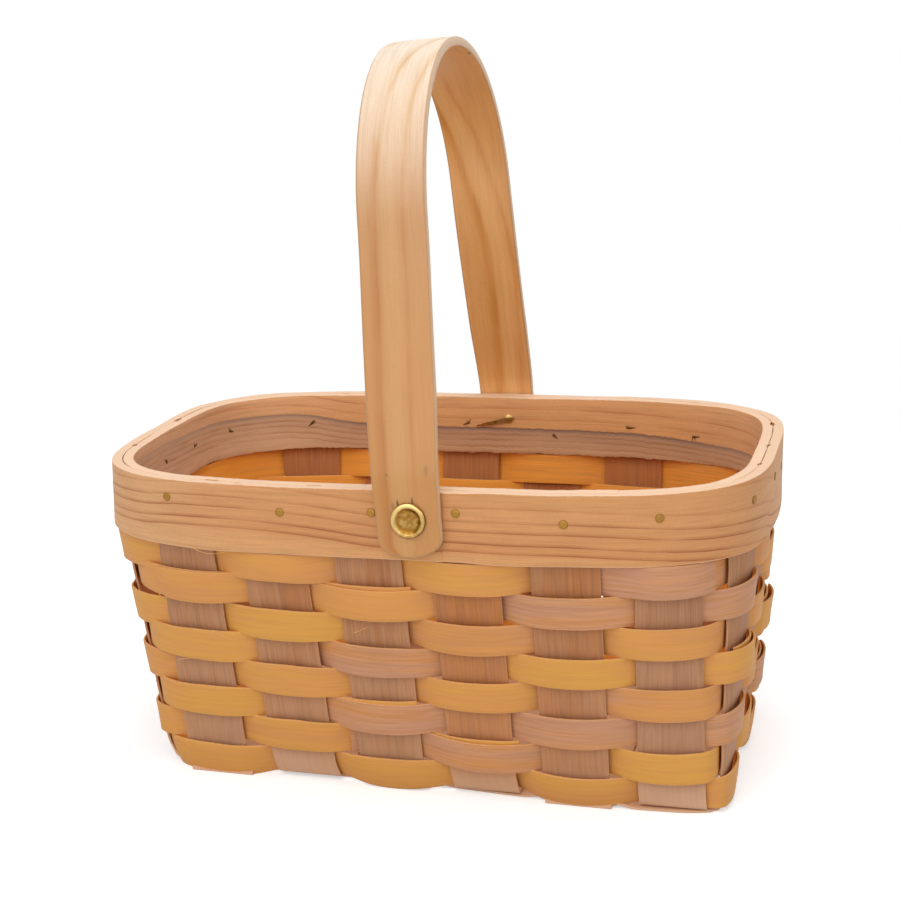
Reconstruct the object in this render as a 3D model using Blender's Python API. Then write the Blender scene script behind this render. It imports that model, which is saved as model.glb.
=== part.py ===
"""Small splint basket with a swing handle, modelled as its separate pieces.

Ten flat veneer strips cross in a plaited base and turn up as the wall's stakes. Eight
weavers run round the wall, over and under the stakes. Two bent bands hold the stakes' tops
between them, nailed through each stake, and a bent handle turns on a rivet at each side.

Metres, +Z up. The origin is on the table under the middle of the rim, +X runs along the
basket, and the front is towards -Y.
"""
import math

import bmesh
import bpy
import numpy as np
from mathutils import Matrix

# Rim, over the outer band
RIM_LENGTH = 0.2276
RIM_WIDTH = 0.1540
RIM_TOP = 0.1094
RIM_CORNER_POWER = 4.0  # power of the rim's rounded plan: 2 is an ellipse, more is squarer
RIM_RISE = 0.0256  # how far the rim climbs for each metre towards +X
BAND_HEIGHT = 0.0232
INNER_BAND_HEIGHT = 0.0222
BAND_THICKNESS = 0.0030
BAND_SLOT = 0.0014  # room between the two bands for the stakes
SEAM_GAP = 0.0003  # slit where a band's two ends meet
OUTER_SEAM = 2.80  # places round the wall, counted in stakes from the first front one
INNER_SEAM = 4.5

# Splints: the stakes and the weavers are cut from one veneer
VENEER = 0.0008
STAKE_WIDTH = 0.0222
STAKE_TOP = 0.1084
WEAVER_WIDTH = 0.0102
WEAVER_ROWS = 8
FIRST_ROW_BOTTOM = 0.0022  # lower edge of the lowest weaver
ROW_PITCH = 0.01049
CROSSING_OFFSET = 0.00115  # a weaver's middle off a stake's middle, at the stake's edges
CROWN_OFFSET = 0.0026  # the same at the crown of its bulge over the stake

# Base, over the middle of the veneer
BASE_LENGTH = 0.1890
BASE_WIDTH = 0.1100
BASE_CORNER = 0.0050
BASE_SHIFT = 0.0083  # the base sits this far towards +X under the rim
FOOT_HEIGHT = 0.0120  # below this the wall curls in to the base
FOOT_CURL = 0.16  # share of the wall's lean that the curl takes
CROSS_STRIPS = 6
LONG_STRIPS = 4
CROSS_PITCH_BASE = 0.0311
CROSS_PITCH_TOP = 0.0321
CROSS_MIDDLE_BASE = 0.0101
CROSS_MIDDLE_TOP = 0.0055
LONG_PITCH = 0.0272
LOW_LAYER = 0.0004  # middle of a strip that passes under, lying on the table
HIGH_LAYER = 0.0015  # middle of a strip that passes over
CROSSING_MARGIN = 0.0003  # a strip stays level this far past the strip it crosses
BEND_REACH = 0.0015  # how far the upward bend reaches along the base and up the wall

# Handle
PIVOT_X = 0.0052
PIVOT_Z = 0.1009
HANDLE_LEAN = math.radians(-5.6)  # the handle rests leaning towards -X
HANDLE_FRONT_WIDTH = 0.0229
HANDLE_BACK_WIDTH = 0.0221
HANDLE_FOOT_NARROWING = 0.0019  # how much narrower the ribbon is at the pivots
HANDLE_TAPER = 0.0360  # height above the pivot where it is full width
# The steamed ribbon wanders: share of the way from its front tip, and place of its middle
HANDLE_WANDER = (
    (0.00, -0.0005), (0.08, -0.0002), (0.20, -0.0010), (0.35, -0.0006), (0.50, -0.0008),
    (0.75, -0.0004), (0.90, -0.0018), (1.00, -0.0019),
)
HANDLE_THICKNESS = 0.0032
HANDLE_CLEARANCE = 0.0008  # between a leg and the outer band
HANDLE_APEX = 0.1467  # above the pivot
HANDLE_EDGE = 0.0006  # chamfer along the ribbon's edges
LEG_STRAIGHT = 0.0125  # a leg is upright this far above the pivot
LEG_TIP = 0.0125  # a leg ends this far below the pivot
LEG_TIP_RISE = 0.0040  # how far the tip's arc rises to the leg's edges
SHOULDER_HALF_WIDTH = 0.0625  # where the leg turns into the arch
SHOULDER_HEIGHT = 0.0923
SHOULDER_LEAN = math.radians(5.6)  # how far the ribbon leans inwards there
LEG_PULL = 0.0117  # lengths of the pulls that draw the leg's and the arch's curves
SHOULDER_PULL = 0.0302
ARCH_LOW_PULL = 0.0307
ARCH_TOP_PULL = 0.0357

# Rivets and nails
RIVET_CAP_RADIUS = 0.0055
RIVET_CAP_HEIGHT = 0.0011
RIVET_SHANK_RADIUS = 0.00175
RIVET_HOLE_RADIUS = 0.00215
RIVET_LONG_LEG = 0.0128  # one leg lies along the inner band, sloping down from the shank
RIVET_SHORT_LEG = 0.0024  # the other is driven close
RIVET_LEG_TILT = math.radians(14.0)
RIVET_LEG_WIDTH = 0.0024
RIVET_LEG_THICKNESS = 0.0007
NAIL_HEAD_RADIUS = 0.00135
NAIL_HEAD_HEIGHT = 0.0003
NAIL_HEAD_GAP = 0.0002
NAIL_SHANK_RADIUS = 0.00055
NAIL_HOLE_RADIUS = 0.00090
NAIL_TIP_LENGTH = 0.0026
NAIL_HEIGHT = 0.0990
# Nails driven by hand, off their stake's middle: stake, then offset along the band and height
SEEN_NAILS = {
    0: (-0.0038, 0.1030), 1: (0.0039, 0.1006), 2: (0.0024, 0.1017), 3: (-0.0021, 0.1025),
    4: (-0.0002, 0.1000), 5: (-0.0042, 0.1017), 6: (-0.0032, 0.1020), 7: (-0.0003, 0.1023),
    10: (0.0080, 0.0970), 11: (0.0018, 0.0988), 12: (-0.0014, 0.0952), 15: (-0.0016, 0.0987),
    16: (-0.0088, 0.0981), 17: (-0.0092, 0.0975), 18: (-0.0090, 0.0977),
}
GAP = 0.0003  # kept between pieces that touch

BAND_BOTTOM = RIM_TOP - BAND_HEIGHT
WALL_KINK = BAND_BOTTOM - 0.0008  # the leaning wall turns upright just under the bands
TOP_INSET = BAND_THICKNESS + BAND_SLOT / 2
STAKES = 2 * (CROSS_STRIPS + LONG_STRIPS)
STAKE_SHARE = 0.35  # half a stake's width, in stake pitches
STAKE_COLUMNS = np.array([-1.0, -1.0 / 3.0, 1.0 / 3.0, 1.0])
FORWARD = np.array([[1, 0], [0, 1], [-1, 0], [0, -1]], dtype=float)  # front, right, back, left
OUTWARD = np.array([[0, -1], [1, 0], [0, 1], [-1, 0]], dtype=float)

COLOURS = {
    "band": (0.72, 0.50, 0.33),
    "handle": (0.78, 0.55, 0.34),
    "stake": (0.52, 0.35, 0.26),
    "weaver": (0.78, 0.49, 0.20),
    "brass": (0.70, 0.52, 0.22),
}


# Plan outlines

class Outline:
    """A closed plan outline, read by the distance walked from the middle of its front side."""

    def __init__(self, points):
        self.points = np.vstack([points, points[:1]])
        steps = np.linalg.norm(np.diff(self.points, axis=0), axis=1)
        self.walked = np.concatenate([[0.0], np.cumsum(steps)])
        self.length = self.walked[-1]

    def at(self, distance):
        """Points at the given distances, which may run past a full turn."""
        wrapped = np.mod(distance, self.length)
        return np.stack([np.interp(wrapped, self.walked, self.points[:, k]) for k in (0, 1)], axis=-1)

    def walk_to(self, side, along):
        """Distance walked to the point of a side that has the given coordinate along it."""
        middle = side * self.length / 4
        walked = np.mod(self.walked[:-1] - middle + self.length / 2, self.length) - self.length / 2
        points = self.points[:-1]
        on_side = points @ OUTWARD[side] > 0
        order = np.argsort(walked[on_side])
        coordinate = (points[on_side] @ FORWARD[side])[order]
        return middle + np.interp(along, coordinate, walked[on_side][order])


def superellipse(half_x, half_y, power, count=2400):
    """Outline |x/half_x|^power + |y/half_y|^power = 1, anticlockwise from the front."""
    angle = np.linspace(-math.pi / 2, 3 * math.pi / 2, count, endpoint=False)
    direction = np.stack([np.cos(angle), np.sin(angle)], axis=1)
    reach = (np.abs(direction / (half_x, half_y)) ** power).sum(axis=1) ** (-1 / power)
    return Outline(direction * reach[:, None])


def rounded_rectangle(half_x, half_y, corner, count=2400):
    """Outline of a rectangle with arcs at its corners, anticlockwise from the front."""
    turn = np.linspace(0, math.pi / 2, 24)
    corners = [(1, -1, -math.pi / 2), (1, 1, 0.0), (-1, 1, math.pi / 2), (-1, -1, math.pi)]
    arcs = [
        np.stack([
            sign_x * (half_x - corner) + corner * np.cos(start + turn),
            sign_y * (half_y - corner) + corner * np.sin(start + turn),
        ], axis=1)
        for sign_x, sign_y, start in corners
    ]
    rough = Outline(np.vstack([[[0.0, -half_y]], *arcs]))
    return Outline(rough.at(np.linspace(0, rough.length, count, endpoint=False)))


def centred(count, pitch, middle=0.0):
    """Coordinates of evenly pitched strips about a middle."""
    return middle + pitch * (np.arange(count) - (count - 1) / 2)


class Wall:
    """The stakes' middle surface, ruled between the base outline and the rim outline.

    A place on it is a stake coordinate and a height. Stake k, counted anticlockwise from the
    left end of the front, is centred on k and reaches STAKE_SHARE either way.
    """

    def __init__(self):
        self.base = rounded_rectangle(BASE_LENGTH / 2, BASE_WIDTH / 2, BASE_CORNER)
        self.top = superellipse(RIM_LENGTH / 2 - TOP_INSET, RIM_WIDTH / 2 - TOP_INSET,
                                RIM_CORNER_POWER)
        base_x = centred(CROSS_STRIPS, CROSS_PITCH_BASE, CROSS_MIDDLE_BASE - BASE_SHIFT)
        top_x = centred(CROSS_STRIPS, CROSS_PITCH_TOP, CROSS_MIDDLE_TOP)
        self.base_knots = self.knots(self.base, base_x)
        self.top_knots = self.knots(self.top, top_x)

    @staticmethod
    def knots(outline, cross_x):
        """Stake coordinates against distance walked, past one turn at both ends."""
        long_y = centred(LONG_STRIPS, LONG_PITCH)
        middles = np.concatenate([
            outline.walk_to(0, cross_x),
            outline.walk_to(1, long_y),
            outline.walk_to(2, -cross_x[::-1]),
            outline.walk_to(3, -long_y[::-1]),
        ])
        turns = np.arange(-1, 2)[:, None]
        middles = (turns * outline.length + middles).ravel()
        places = (turns * STAKES + np.arange(STAKES)).ravel()
        half = STAKE_WIDTH / 2
        walked = np.stack([middles - half, middles, middles + half], axis=1).ravel()
        place = np.stack([places - STAKE_SHARE, places, places + STAKE_SHARE], axis=1).ravel()
        return place, walked

    def point(self, place, height):
        """Points of the surface, before the rim's rise is added."""
        place, height = np.broadcast_arrays(place, height)
        base = self.base.at(np.interp(place, *self.base_knots)) + (BASE_SHIFT, 0.0)
        top = self.top.at(np.interp(place, *self.top_knots))
        share = (1 - FOOT_CURL) * np.clip(height / WALL_KINK, 0.0, 1.0)
        share += FOOT_CURL * (1 - (1 - np.clip(height / FOOT_HEIGHT, 0.0, 1.0)) ** 2)
        share = share[..., None]
        return np.concatenate([base * (1 - share) + top * share, height[..., None]], axis=-1)

    def normal(self, place, height):
        """Outward unit normals, level where the wall stands upright between the bands."""
        reach = 0.02
        rise = 0.0005
        along = self.point(place + reach, height) - self.point(place - reach, height)
        upward = self.point(place, height + rise) - self.point(place, height - rise)
        across = np.cross(along, upward)
        return across / np.linalg.norm(across, axis=-1, keepdims=True)

    def offset(self, place, height, distance):
        """Points off the surface, outwards where the distance is positive."""
        distance = np.broadcast_to(distance, np.broadcast(place, height).shape)
        return self.point(place, height) + self.normal(place, height) * distance[..., None]


def with_rise(points):
    """Adds the rim's climb towards +X, in full at the rim and none at the table."""
    lifted = np.array(points)
    lifted[..., 2] += RIM_RISE * lifted[..., 0] * lifted[..., 2] / RIM_TOP
    return lifted


# Meshes

def add_object(name, bm, material, location=(0, 0, 0)):
    """Closes a bmesh's work into a named object with outward faces."""
    bmesh.ops.recalc_face_normals(bm, faces=bm.faces)
    mesh = bpy.data.meshes.new(name)
    bm.to_mesh(mesh)
    bm.free()
    obj = bpy.data.objects.new(name, mesh)
    obj.location = location
    obj.data.materials.append(material)
    bpy.context.collection.objects.link(obj)
    return obj


def loft(bm, sections, closed):
    """Skins a row of equal point rings; an open row gets a flat cap at each end."""
    rings = [[bm.verts.new(point) for point in section] for section in sections]
    following = rings[1:] + rings[:1] if closed else rings[1:]
    for ring, after in zip(rings, following):
        for k in range(len(ring)):
            nxt = (k + 1) % len(ring)
            bm.faces.new((ring[k], ring[nxt], after[nxt], after[k]))
    if not closed:
        bm.faces.new(rings[0])
        bm.faces.new(rings[-1])


def smooth(obj, degrees=35):
    """Shades an object smooth, with sharp edges where its faces turn."""
    obj.data.shade_smooth()
    obj.data.set_sharp_from_angle(angle=math.radians(degrees))


def make_material(name, colour, roughness, metallic=0.0):
    """A plain Principled material."""
    material = bpy.data.materials.new(name)
    material.use_nodes = True
    shader = material.node_tree.nodes["Principled BSDF"]
    shader.inputs["Base Color"].default_value = (*colour, 1.0)
    shader.inputs["Roughness"].default_value = roughness
    shader.inputs["Metallic"].default_value = metallic
    return material


def cut(obj, cutter):
    """Subtracts a guide from an object."""
    modifier = obj.modifiers.new("cut " + cutter.name, "BOOLEAN")
    modifier.operation = "DIFFERENCE"
    modifier.solver = "EXACT"
    modifier.object = cutter


def as_guide(obj):
    """Marks an object as a cutter, which is no piece of the basket."""
    obj.hide_render = True
    obj.display_type = "WIRE"
    return obj


# Rim bands and weavers, which run round the wall

def places_round():
    """Stake coordinates of the sections round the wall, with one in the middle of each corner."""
    middles = np.arange(STAKES)[:, None]
    on_stakes = (middles + STAKE_SHARE * STAKE_COLUMNS).ravel()
    corner_stakes = np.cumsum([CROSS_STRIPS, LONG_STRIPS, CROSS_STRIPS, LONG_STRIPS]) - 0.5
    return np.sort(np.concatenate([on_stakes, corner_stakes]))


def strip_sections(wall, places, heights, inner, outer):
    """Sections of a strip on its edge along the wall: up its outer face, down its inner one."""
    columns = [wall.offset(places, height, outer) for height in heights]
    columns += [wall.offset(places, height, inner) for height in heights[::-1]]
    return with_rise(np.stack(columns, axis=1))


def make_band(wall, name, seam, bottom, inner, outer, material):
    """A bent band, open at its seam, where its two ends meet."""
    half_slit = SEAM_GAP / 2 / (RIM_LENGTH * math.pi / STAKES)
    places = places_round()
    places = np.sort(np.where(places > seam, places, places + STAKES))
    places = places[(places > seam + 2 * half_slit) & (places < seam + STAKES - 2 * half_slit)]
    places = np.concatenate([[seam + half_slit], places, [seam + STAKES - half_slit]])
    bm = bmesh.new()
    loft(bm, strip_sections(wall, places, [bottom, RIM_TOP], inner, outer), closed=False)
    return add_object(name, bm, material)


def weaver_offset(places, row):
    """A weaver's distance off the stakes' middle surface: outside one stake, inside the next.

    Over a stake it bulges as a parabola between the stake's edges. Between two stakes it
    crosses the surface on a straight slant.
    """
    stake = np.round(places)
    side = np.where((stake + row) % 2 == 0, 1.0, -1.0)
    away = np.abs(places - stake)
    crown = CROSSING_OFFSET + (CROWN_OFFSET - CROSSING_OFFSET) * (1 - (away / STAKE_SHARE) ** 2)
    slant = CROSSING_OFFSET * (0.5 - away) / (0.5 - STAKE_SHARE)
    return side * np.where(away <= STAKE_SHARE + 1e-6, crown, slant)


def make_weaver(wall, row, material):
    """One weaver, row 1 at the top."""
    low = FIRST_ROW_BOTTOM + (WEAVER_ROWS - row) * ROW_PITCH
    heights = [low, low + WEAVER_WIDTH]
    if low < FOOT_HEIGHT:
        heights.insert(1, low + 0.4 * WEAVER_WIDTH)  # the lowest weaver follows the curl
    places = places_round()
    middle = weaver_offset(places, row)
    bm = bmesh.new()
    sections = strip_sections(wall, places, heights, middle - VENEER / 2, middle + VENEER / 2)
    loft(bm, sections, closed=True)
    return add_object(f"weaver_row_{row}", bm, material)


# Strips, which are two stakes and the base strip between them

def wall_rows(wall, stake, order, level):
    """Rows of a stake from its top down to the end of the bend at its foot.

    Returns the rows' middle points and the directions of the veneer's inner face.
    """
    bend_end = level + BEND_REACH
    heights = np.concatenate([[STAKE_TOP], np.linspace(WALL_KINK, 2 * FOOT_HEIGHT, 4),
                              [FOOT_HEIGHT, (FOOT_HEIGHT + bend_end) / 2, bend_end]])
    places = stake + STAKE_SHARE * STAKE_COLUMNS * order
    return wall.point(places, heights[:, None]), -wall.normal(places, heights[:, None])


def bend_rows(wall, stake, order, level):
    """Rows of the bend at a stake's foot, from the wall to the base, its two ends left out.

    Each column is a quadratic curve whose middle point is the corner of wall and base.
    """
    places = stake + STAKE_SHARE * STAKE_COLUMNS * order
    side = OUTWARD[side_of(stake)]
    corner = wall.point(places, level)
    on_wall = wall.point(places, level + BEND_REACH)
    on_base = corner - np.append(side, 0.0) * BEND_REACH
    inward = -wall.normal(places, level + BEND_REACH)
    rows, directions = [on_base], [np.broadcast_to((0.0, 0.0, 1.0), corner.shape)]
    for t in (1 / 3, 2 / 3):
        rows.append((1 - t) ** 2 * on_base + 2 * t * (1 - t) * corner + t ** 2 * on_wall)
        mixed = (1 - t) * directions[0] + t * inward
        directions.append(mixed / np.linalg.norm(mixed, axis=-1, keepdims=True))
    return np.stack(rows[::-1]), np.stack(directions[::-1])


def side_of(stake):
    """The side of the basket, counted as in OUTWARD, that a stake stands on."""
    ends = np.cumsum([CROSS_STRIPS, LONG_STRIPS, CROSS_STRIPS])
    return int(np.searchsorted(ends, stake, side="right"))


def base_rows(wall, stake, crossed, levels):
    """Level rows of a base strip, before and past each strip that it crosses."""
    columns = wall.point(stake + STAKE_SHARE * STAKE_COLUMNS, 0.0)
    runs_along = 1 if side_of(stake) == 0 else 0
    reach = np.sign(crossed[-1] - crossed[0]) * (STAKE_WIDTH / 2 + CROSSING_MARGIN)
    rows = []
    for middle, level in zip(crossed, levels):
        for edge in (middle - reach, middle + reach):
            row = np.array(columns)
            row[:, runs_along] = edge
            row[:, 2] = level
            rows.append(row)
    return np.stack(rows)


def make_strip(wall, name, first, last, crossed, levels, material):
    """A strip from the top of its first stake, down, across the base and up its last stake."""
    down, down_face = wall_rows(wall, first, 1, levels[0])
    turn, turn_face = bend_rows(wall, first, 1, levels[0])
    level = base_rows(wall, first, crossed, levels)
    level_face = np.broadcast_to((0.0, 0.0, 1.0), level.shape)
    rise, rise_face = wall_rows(wall, last, -1, levels[-1])
    foot, foot_face = bend_rows(wall, last, -1, levels[-1])
    middle = np.concatenate([down, turn, level, foot[::-1], rise[::-1]])
    face = np.concatenate([down_face, turn_face, level_face, foot_face[::-1], rise_face[::-1]])
    inner = middle + face * VENEER / 2
    outer = middle - face * VENEER / 2
    bm = bmesh.new()
    loft(bm, with_rise(np.concatenate([inner, outer[:, ::-1]], axis=1)), closed=False)
    return add_object(name, bm, material)


def make_strips(wall, material):
    """The plaited base and the stakes: each strip passes over and under in turn."""
    cross_x = centred(CROSS_STRIPS, CROSS_PITCH_BASE, CROSS_MIDDLE_BASE)
    long_y = centred(LONG_STRIPS, LONG_PITCH)
    cross_over = np.add.outer(np.arange(CROSS_STRIPS), np.arange(LONG_STRIPS)) % 2 == 1
    strips = []
    for k in range(CROSS_STRIPS):
        levels = np.where(cross_over[k], HIGH_LAYER, LOW_LAYER)
        back = 2 * CROSS_STRIPS + LONG_STRIPS - 1 - k
        strips.append(make_strip(wall, f"cross_strip_{k + 1}", k, back, long_y, levels, material))
    for k in range(LONG_STRIPS):
        levels = np.where(cross_over[:, k], LOW_LAYER, HIGH_LAYER)[::-1]
        right = CROSS_STRIPS + k
        left = STAKES - 1 - k
        strips.append(make_strip(wall, f"long_strip_{k + 1}", right, left, cross_x[::-1], levels,
                                 material))
    return strips


# Handle

def cubic(start, first_pull, second_pull, end, count):
    """Points of a cubic curve between two ends, each with its own pulling point."""
    t = np.linspace(0, 1, count)[:, None]
    return ((1 - t) ** 3 * start + 3 * t * (1 - t) ** 2 * first_pull
            + 3 * t ** 2 * (1 - t) * second_pull + t ** 3 * end)


def handle_outer_line():
    """Outer face of the front half of the handle from its tip to the apex, as (y, z) rows."""
    leg_y = -(RIM_WIDTH / 2 + HANDLE_CLEARANCE + HANDLE_THICKNESS)
    turn = np.array([leg_y, LEG_STRAIGHT])
    shoulder = np.array([-SHOULDER_HALF_WIDTH, SHOULDER_HEIGHT])
    apex = np.array([0.0, HANDLE_APEX])
    lean = np.array([math.sin(SHOULDER_LEAN), math.cos(SHOULDER_LEAN)])
    leg = cubic(turn, turn + (0, LEG_PULL), shoulder - lean * SHOULDER_PULL, shoulder, 9)
    arch = cubic(shoulder, shoulder + lean * ARCH_LOW_PULL, apex - (ARCH_TOP_PULL, 0), apex, 9)
    return np.concatenate([leg, arch[1:]])


def handle_section(point, normal, middle, width):
    """Eight-cornered section of the ribbon, its outer face on the point."""
    half = width / 2
    edge = min(HANDLE_EDGE, half / 2)
    depth = HANDLE_THICKNESS
    corners = [
        (-half, edge), (-half + edge, 0), (half - edge, 0), (half, edge),
        (half, depth - edge), (half - edge, depth), (-half + edge, depth), (-half, depth - edge),
    ]
    return [(middle + x, point[0] - normal[0] * d, point[1] - normal[1] * d) for x, d in corners]


def make_handle(material):
    """The bent ribbon, built about its pivot and leaning as it rests."""
    line = handle_outer_line()
    # A tip is a shallow arc: its half width grows with the root of the height above its end
    shares = np.array([0.04, 0.18, 0.42, 0.70, 1.0])
    heights = np.append(-LEG_TIP + LEG_TIP_RISE * shares, 0.0)
    tip = np.stack([np.full_like(heights, line[0, 0]), heights], axis=1)
    half = np.concatenate([tip, line])
    narrowing = np.ones(len(half))
    narrowing[:len(shares)] = np.sqrt(shares)
    whole = np.concatenate([half, (half * (-1, 1))[-2::-1]])
    narrowing = np.concatenate([narrowing, narrowing[-2::-1]])

    steps = np.diff(whole, axis=0)
    way = np.concatenate([[0.0], np.cumsum(np.linalg.norm(steps, axis=1))])
    way /= way[-1]
    middles = np.interp(way, *np.transpose(HANDLE_WANDER))
    widths = np.interp(way, [0, 1], [HANDLE_FRONT_WIDTH, HANDLE_BACK_WIDTH])
    widths -= np.interp(whole[:, 1], [0, HANDLE_TAPER], [HANDLE_FOOT_NARROWING, 0])
    widths *= narrowing
    along = np.gradient(whole, axis=0)
    along /= np.linalg.norm(along, axis=1, keepdims=True)
    normals = np.stack([-along[:, 1], along[:, 0]], axis=1)
    sections = [handle_section(*row) for row in zip(whole, normals, middles, widths)]
    bm = bmesh.new()
    loft(bm, sections, closed=False)
    handle = add_object("handle", bm, material, (PIVOT_X, 0, PIVOT_Z))
    handle.rotation_euler.y = HANDLE_LEAN
    return handle


# Fasteners

def turned_ring(height, radius, sides):
    """Points of a ring about the Y axis, at a height towards -Y."""
    angles = np.arange(sides) * 2 * math.pi / sides
    return [(radius * math.cos(a), -height, radius * math.sin(a)) for a in angles]


def make_rivet(name, side, material):
    """A split rivet: a dished cap outside, a shank, and two legs spread on the inner band."""
    sides = 16
    stack = HANDLE_THICKNESS + HANDLE_CLEARANCE + 2 * BAND_THICKNESS + BAND_SLOT
    legs = -(stack + 2 * GAP)
    cap = RIVET_CAP_HEIGHT
    profile = [
        (0.80 * cap, 0.60 * RIVET_CAP_RADIUS), (cap, 0.74 * RIVET_CAP_RADIUS),
        (0.93 * cap, 0.90 * RIVET_CAP_RADIUS), (0.50 * cap, RIVET_CAP_RADIUS),
        (0.0, RIVET_CAP_RADIUS), (0.0, RIVET_SHANK_RADIUS),
        (legs - RIVET_LEG_THICKNESS / 2, RIVET_SHANK_RADIUS),
    ]
    bm = bmesh.new()
    loft(bm, [turned_ring(height, radius, sides) for height, radius in profile], closed=False)
    outer_face = RIM_WIDTH / 2 + HANDLE_CLEARANCE + HANDLE_THICKNESS + GAP
    place = (PIVOT_X, -outer_face, PIVOT_Z)
    rivet = add_object(name, bm, material, place)

    bm = bmesh.new()
    near = -legs
    far = near + RIVET_LEG_THICKNESS
    rings = []
    for x, breadth in ((-RIVET_SHORT_LEG, 0.6), (0.0, 1.0), (0.5 * RIVET_LONG_LEG, 0.9),
                       (RIVET_LONG_LEG, 0.2)):
        z = breadth * RIVET_LEG_WIDTH / 2
        rings.append([(x, near, -z), (x, far, -z), (x, far, z), (x, near, z)])
    loft(bm, rings, closed=False)
    spread = as_guide(add_object(name + "_legs", bm, material, place))
    join = rivet.modifiers.new("legs", "BOOLEAN")
    join.operation = "UNION"
    join.solver = "EXACT"
    join.object = spread
    for obj in (rivet, spread):
        obj.rotation_euler.y = RIVET_LEG_TILT
        if side == "back":
            obj.rotation_euler.z = math.pi
            obj.location.y = outer_face
    smooth(rivet)
    return rivet


def nail_places():
    """Stake coordinate and height of each nail, one to a stake."""
    places = []
    for stake in range(STAKES):
        aside, height = SEEN_NAILS.get(stake, (0.0, NAIL_HEIGHT))
        places.append((stake + STAKE_SHARE * aside / (STAKE_WIDTH / 2), height))
    return places


def nail_axes(wall, place, height):
    """Where a nail meets the outer band's face, and its outward, sideways and up directions."""
    outer = BAND_SLOT / 2 + BAND_THICKNESS
    spot = with_rise(wall.offset(np.array(place), np.array(height), np.array(outer)))
    outward = wall.normal(np.array(place), np.array(height))
    up = np.array([0.0, 0.0, 1.0])
    return spot, np.stack([outward, np.cross(up, outward), up])


def make_nails(wall, material):
    """Small brass nails: domed head, shank, and the tip clinched along the inner band.

    They share one mesh, whose +X points out of the basket and whose origin is on the band.
    """
    sides = 6
    angles = np.arange(sides) * 2 * math.pi / sides
    ring = np.stack([np.cos(angles), np.sin(angles)], axis=1)
    through = -(2 * BAND_THICKNESS + BAND_SLOT + GAP + NAIL_SHANK_RADIUS)
    top = NAIL_HEAD_GAP + NAIL_HEAD_HEIGHT
    brim = NAIL_HEAD_GAP + 0.6 * NAIL_HEAD_HEIGHT
    head = [(top, 0.6 * NAIL_HEAD_RADIUS), (brim, NAIL_HEAD_RADIUS),
            (NAIL_HEAD_GAP, NAIL_HEAD_RADIUS), (NAIL_HEAD_GAP, NAIL_SHANK_RADIUS)]
    rings = [np.column_stack([np.full(sides, depth), ring * radius]) for depth, radius in head]
    shank = ring * NAIL_SHANK_RADIUS
    # The clinch is a mitre: each line of the shank turns from inwards to sideways
    rings.append(np.column_stack([through + shank[:, 0], shank]))
    tip = shank * 0.35
    rings.append(np.column_stack([through + tip[:, 0], np.full(sides, NAIL_TIP_LENGTH), tip[:, 1]]))
    bm = bmesh.new()
    loft(bm, rings, closed=False)
    first = add_object("rim_nail_01", bm, material)
    smooth(first)
    nails = [first]
    for number in range(2, STAKES + 1):
        nail = bpy.data.objects.new(f"rim_nail_{number:02d}", first.data)
        bpy.context.collection.objects.link(nail)
        nails.append(nail)
    for nail, (place, height) in zip(nails, nail_places()):
        spot, axes = nail_axes(wall, place, height)
        nail.location = spot
        nail.rotation_euler = Matrix(axes.T.tolist()).to_euler()
    return nails


def make_nail_drill(wall):
    """Guide for the nail holes, one prism through both bands at each nail."""
    sides = 6
    angles = (np.arange(sides) + 0.5) * 2 * math.pi / sides
    ring = NAIL_HOLE_RADIUS * np.stack([np.cos(angles), np.sin(angles)], axis=1)
    through = 2 * BAND_THICKNESS + BAND_SLOT
    bm = bmesh.new()
    for place, height in nail_places():
        spot, axes = nail_axes(wall, place, height)
        ends = [np.column_stack([np.full(sides, depth), ring]) for depth in (0.001, -through - 0.001)]
        loft(bm, [spot + points @ axes for points in ends], closed=False)
    return as_guide(add_object("nail_drill", bm, bpy.data.materials["brass"]))


def make_rivet_drill():
    """Guide for the rivet holes, one rod through both sides of the basket."""
    reach = RIM_WIDTH / 2 + HANDLE_THICKNESS + 0.004
    bm = bmesh.new()
    ends = [turned_ring(height, RIVET_HOLE_RADIUS, 16) for height in (reach, -reach)]
    loft(bm, ends, closed=False)
    return as_guide(add_object("rivet_drill", bm, bpy.data.materials["brass"],
                               (PIVOT_X, 0, PIVOT_Z)))


def main():
    """Clears the scene and builds every piece."""
    for obj in list(bpy.data.objects):
        bpy.data.objects.remove(obj, do_unlink=True)
    band_wood = make_material("band_wood", COLOURS["band"], 0.6)
    handle_wood = make_material("handle_wood", COLOURS["handle"], 0.55)
    stake_veneer = make_material("stake_veneer", COLOURS["stake"], 0.7)
    weaver_veneer = make_material("weaver_veneer", COLOURS["weaver"], 0.65)
    brass = make_material("brass", COLOURS["brass"], 0.3, metallic=1.0)

    wall = Wall()
    nail_drill = make_nail_drill(wall)
    rivet_drill = make_rivet_drill()

    slot = BAND_SLOT / 2
    outer = make_band(wall, "outer_rim_band", OUTER_SEAM, BAND_BOTTOM,
                      slot, slot + BAND_THICKNESS, band_wood)
    inner = make_band(wall, "inner_rim_band", INNER_SEAM, RIM_TOP - INNER_BAND_HEIGHT,
                      -slot - BAND_THICKNESS, -slot, band_wood)
    for strip in make_strips(wall, stake_veneer):
        cut(strip, nail_drill)
    for row in range(1, WEAVER_ROWS + 1):
        make_weaver(wall, row, weaver_veneer)
    handle = make_handle(handle_wood)
    cut(handle, rivet_drill)
    for band in (outer, inner):
        cut(band, nail_drill)
        cut(band, rivet_drill)
    for piece in (outer, inner, handle):
        smooth(piece)
    make_rivet("rivet_front", "front", brass)
    make_rivet("rivet_back", "back", brass)
    make_nails(wall, brass)


main()
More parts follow.
